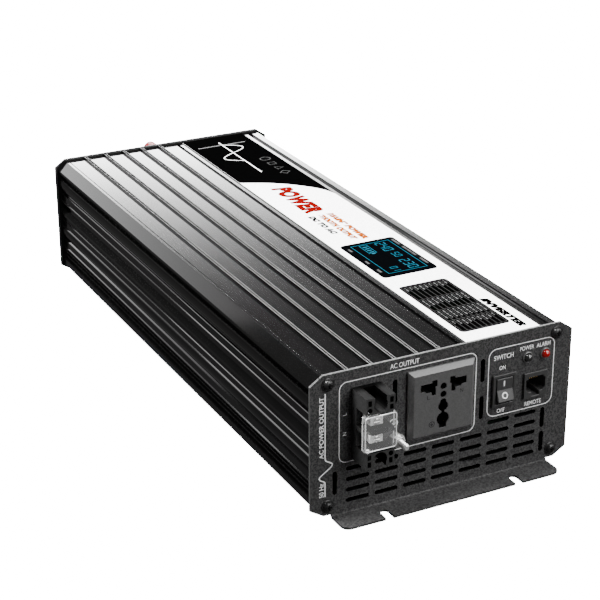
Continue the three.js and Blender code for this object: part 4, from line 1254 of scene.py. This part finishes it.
for fan_side, fan_x in (("left", -45.8), ("right", 45.8)):
    fan_rotor(fan_side, fan_x)
    fan_guard(fan_side, fan_x)
    for offset_x in (-FAN_HOLE, FAN_HOLE):
        for offset_h in (-FAN_HOLE, FAN_HOLE):
            pan_head(
                f"fan_screw_{fan_side}_{offset_x + FAN_HOLE}_{offset_h + FAN_HOLE}",
                fan_x + offset_x, FAN_H + offset_h, from_guard, radius=3.2, height=2, shank=1.6,
            )
    sticker = [(0, BACK - 1.85), (9.6, BACK - 1.85), (9.6, BACK - 1.75), (0, BACK - 1.75)]
    crease(turned(f"fan_sticker_{fan_side}", sticker, fan_x, FAN_H, ALUMINIUM))

# --- battery terminals
KNOB_FLUTES = 8
SKIRT_END = BACK + 10.6
KNOB_SECTION = (
    (4.3, 6.3), (6.9, 6.3), (7.4, 6.8), (7.4, 9.4), (7, 10.2), (6.3, 10.5), (5.6, 10.9), (5.3, 11.6),
    (5.2, 12.6), (5.2, 24.6), (5, 25.7), (4.4, 26.5), (3.4, 26.9), (2.6, 27), (2.2, 26.6), (0, 26.6),
)


def flute(angle, radius, y):
    """Depth of the grip's grooves, which run along the knob's skirt."""
    if y > SKIRT_END or radius < 5:
        return 0
    pitch = 2 * math.pi / KNOB_FLUTES
    off = (angle + pitch / 2) % pitch - pitch / 2
    return 0.85 * math.exp(-((off / 0.1) ** 2))


for pole, pole_h, pole_material in (("positive", 77, RED_PLASTIC), ("negative", 35, GLOSS_BLACK)):
    knob = crease(turned(
        f"battery_knob_{pole}", [(radius, BACK + y) for radius, y in KNOB_SECTION],
        0, pole_h, pole_material, f"{pole}_knob", sides=96, flute=flute,
    ), 40)
    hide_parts(f"dc_{pole}_knob")

printed_rear = on_rear(BACK)
for sign_name, sign in (
    ("positive_sign", bar(-2.2, 2.2, 60.9, 61.7)),
    ("positive_upright", bar(-0.4, 0.4, 59.1, 63.5)),
    ("negative_sign", bar(-2.2, 2.2, 49.3, 50.1)),
):
    flat_piece(f"print_{sign_name}", [sign], printed_rear, INK_WHITE)
lettering("print_input", "DC INPUT", (-10, 10, 54.1, 56.9), printed_rear, INK_WHITE, weight=0.012)

# --- studio
STUDIO_GLOW = 16
FLOOR_SIZE = 6
FLOOR_LEVEL = -0.0001
WALL_RADIUS = FLOOR_SIZE * 0.98


def stage_mesh(name, points, faces):
    """A pale surface in metres that glows for the camera but doesn't light the object."""
    material = shader(name + "_paint", grey(0.85), 0.9, Emission_Strength=STUDIO_GLOW)
    socket(material, "Emission Color").default_value = (1, 1, 1, 1)
    material.cycles.emission_sampling = "NONE"
    mesh = bpy.data.meshes.new(name)
    mesh.from_pydata(points, [], faces)
    mesh.materials.append(material)
    piece = add(name, mesh)
    piece.visible_diffuse = False
    piece.visible_glossy = False
    piece.visible_shadow = False


floor_corners = bar(-FLOOR_SIZE, FLOOR_SIZE, -FLOOR_SIZE, FLOOR_SIZE)
stage_mesh("floor", [(x, y, FLOOR_LEVEL) for x, y in floor_corners], [(0, 1, 2, 3)])


def backdrop():
    """A pale round wall about the floor, with a lid."""
    steps = 48
    points = [
        (x, y, level) for level in (-0.01, 6)
        for x, y in arc((0, 0), WALL_RADIUS, 0, 360 - 360 / steps, steps - 1)
    ]
    faces = [
        (step, (step + 1) % steps, steps + (step + 1) % steps, steps + step) for step in range(steps)
    ]
    faces.append(tuple(range(steps, 2 * steps)))
    stage_mesh("backdrop", points, faces)


backdrop()


def area_light(name, place, target, width, height, power):
    """A rectangular lamp, in metres and watts, that faces the target."""
    data = bpy.data.lights.new(name, "AREA")
    data.shape = "RECTANGLE"
    data.size = width
    data.size_y = height
    data.energy = power
    light = add(name, data)
    light.location = place
    light.rotation_euler = (Vector(target) - Vector(place)).to_track_quat("-Z", "Y").to_euler()
    light.visible_camera = False


SCREEN_RADIUS = 1.8
SCREEN_ROW = 0.025


def light_screen(name, start, end, low, high, level, fall, cut, most):
    """A bent screen of light about the object that is bright at its foot and dark at its head.

    start and end are degrees from +Y towards +X, low and high are heights in metres. The screen's
    radiance is exp(level - fall * height) - cut, and at most the last number.
    """
    columns = max(1, round((end - start) / 25))
    step = (end - start) / columns
    width = 2 * SCREEN_RADIUS * math.tan(math.radians(step / 2))
    for row in range(round((high - low) / SCREEN_ROW)):
        height = low + (row + 0.5) * SCREEN_ROW
        radiance = min(most, math.exp(level - fall * height) - cut)
        if radiance < 0.02:
            break
        for column in range(columns):
            angle = math.radians(start + (column + 0.5) * step)
            place = (SCREEN_RADIUS * math.sin(angle), SCREEN_RADIUS * math.cos(angle), height)
            power = radiance * math.pi * width * SCREEN_ROW
            area_light(f"{name}_{row}_{column}", place, (0, 0, height), width, SCREEN_ROW, power)


light_screen("screen_right", 0, 60, 0.52, 1.3, 12.5, 14.6, 0.15, 45)
light_screen("screen_left", -27, -5, 0.62, 1.3, 4.25, 4.2, 0, 10)
area_light("key_above", (-0.2, 0.34, 1.5), (0, 0, 0), 1.6, 0.36, 220)
area_light("fill_front", (0.7, -1.8, 0.75), (0, -0.2, 0.03), 1.2, 0.9, 20)
area_light("front_above", (0.65, -0.95, 1.45), (0, -0.2, 0.05), 1.2, 0.9, 35)
area_light("fill_right", (1.9, -0.5, 0.8), (0, 0, 0.05), 1.2, 0.8, 14)
area_light("edge_strip", (-0.28, 1.4, 1.2), (0, 0, 0.08), 0.9, 0.5, 5)

world = bpy.data.worlds.new("studio")
world.use_nodes = True
background = world.node_tree.nodes["Background"]
background.inputs["Color"].default_value = (1, 1, 1, 1)
background.inputs["Strength"].default_value = 0.1
bpy.context.scene.world = world

# --- camera
CAMERA_PLACE = (-0.46697, -0.95327, 0.49984)
AZIMUTH, ELEVATION, ROLL = math.radians(26.796), math.radians(23.467), math.radians(-0.26)
look = Vector((
    math.sin(AZIMUTH) * math.cos(ELEVATION),
    math.cos(AZIMUTH) * math.cos(ELEVATION),
    -math.sin(ELEVATION),
))
across = look.cross(Vector((0, 0, 1))).normalized()
upward = across.cross(look)
right = across * math.cos(ROLL) + upward * math.sin(ROLL)
top = upward * math.cos(ROLL) - across * math.sin(ROLL)
camera_data = bpy.data.cameras.new("camera")
camera_data.lens = 103.16
camera_data.sensor_width = 36
camera_data.clip_start = 0.01
camera = add("camera", camera_data)
turned_to = Matrix((right, top, -look)).transposed().to_4x4()
camera.matrix_world = Matrix.Translation(CAMERA_PLACE) @ turned_to
bpy.context.scene.camera = camera
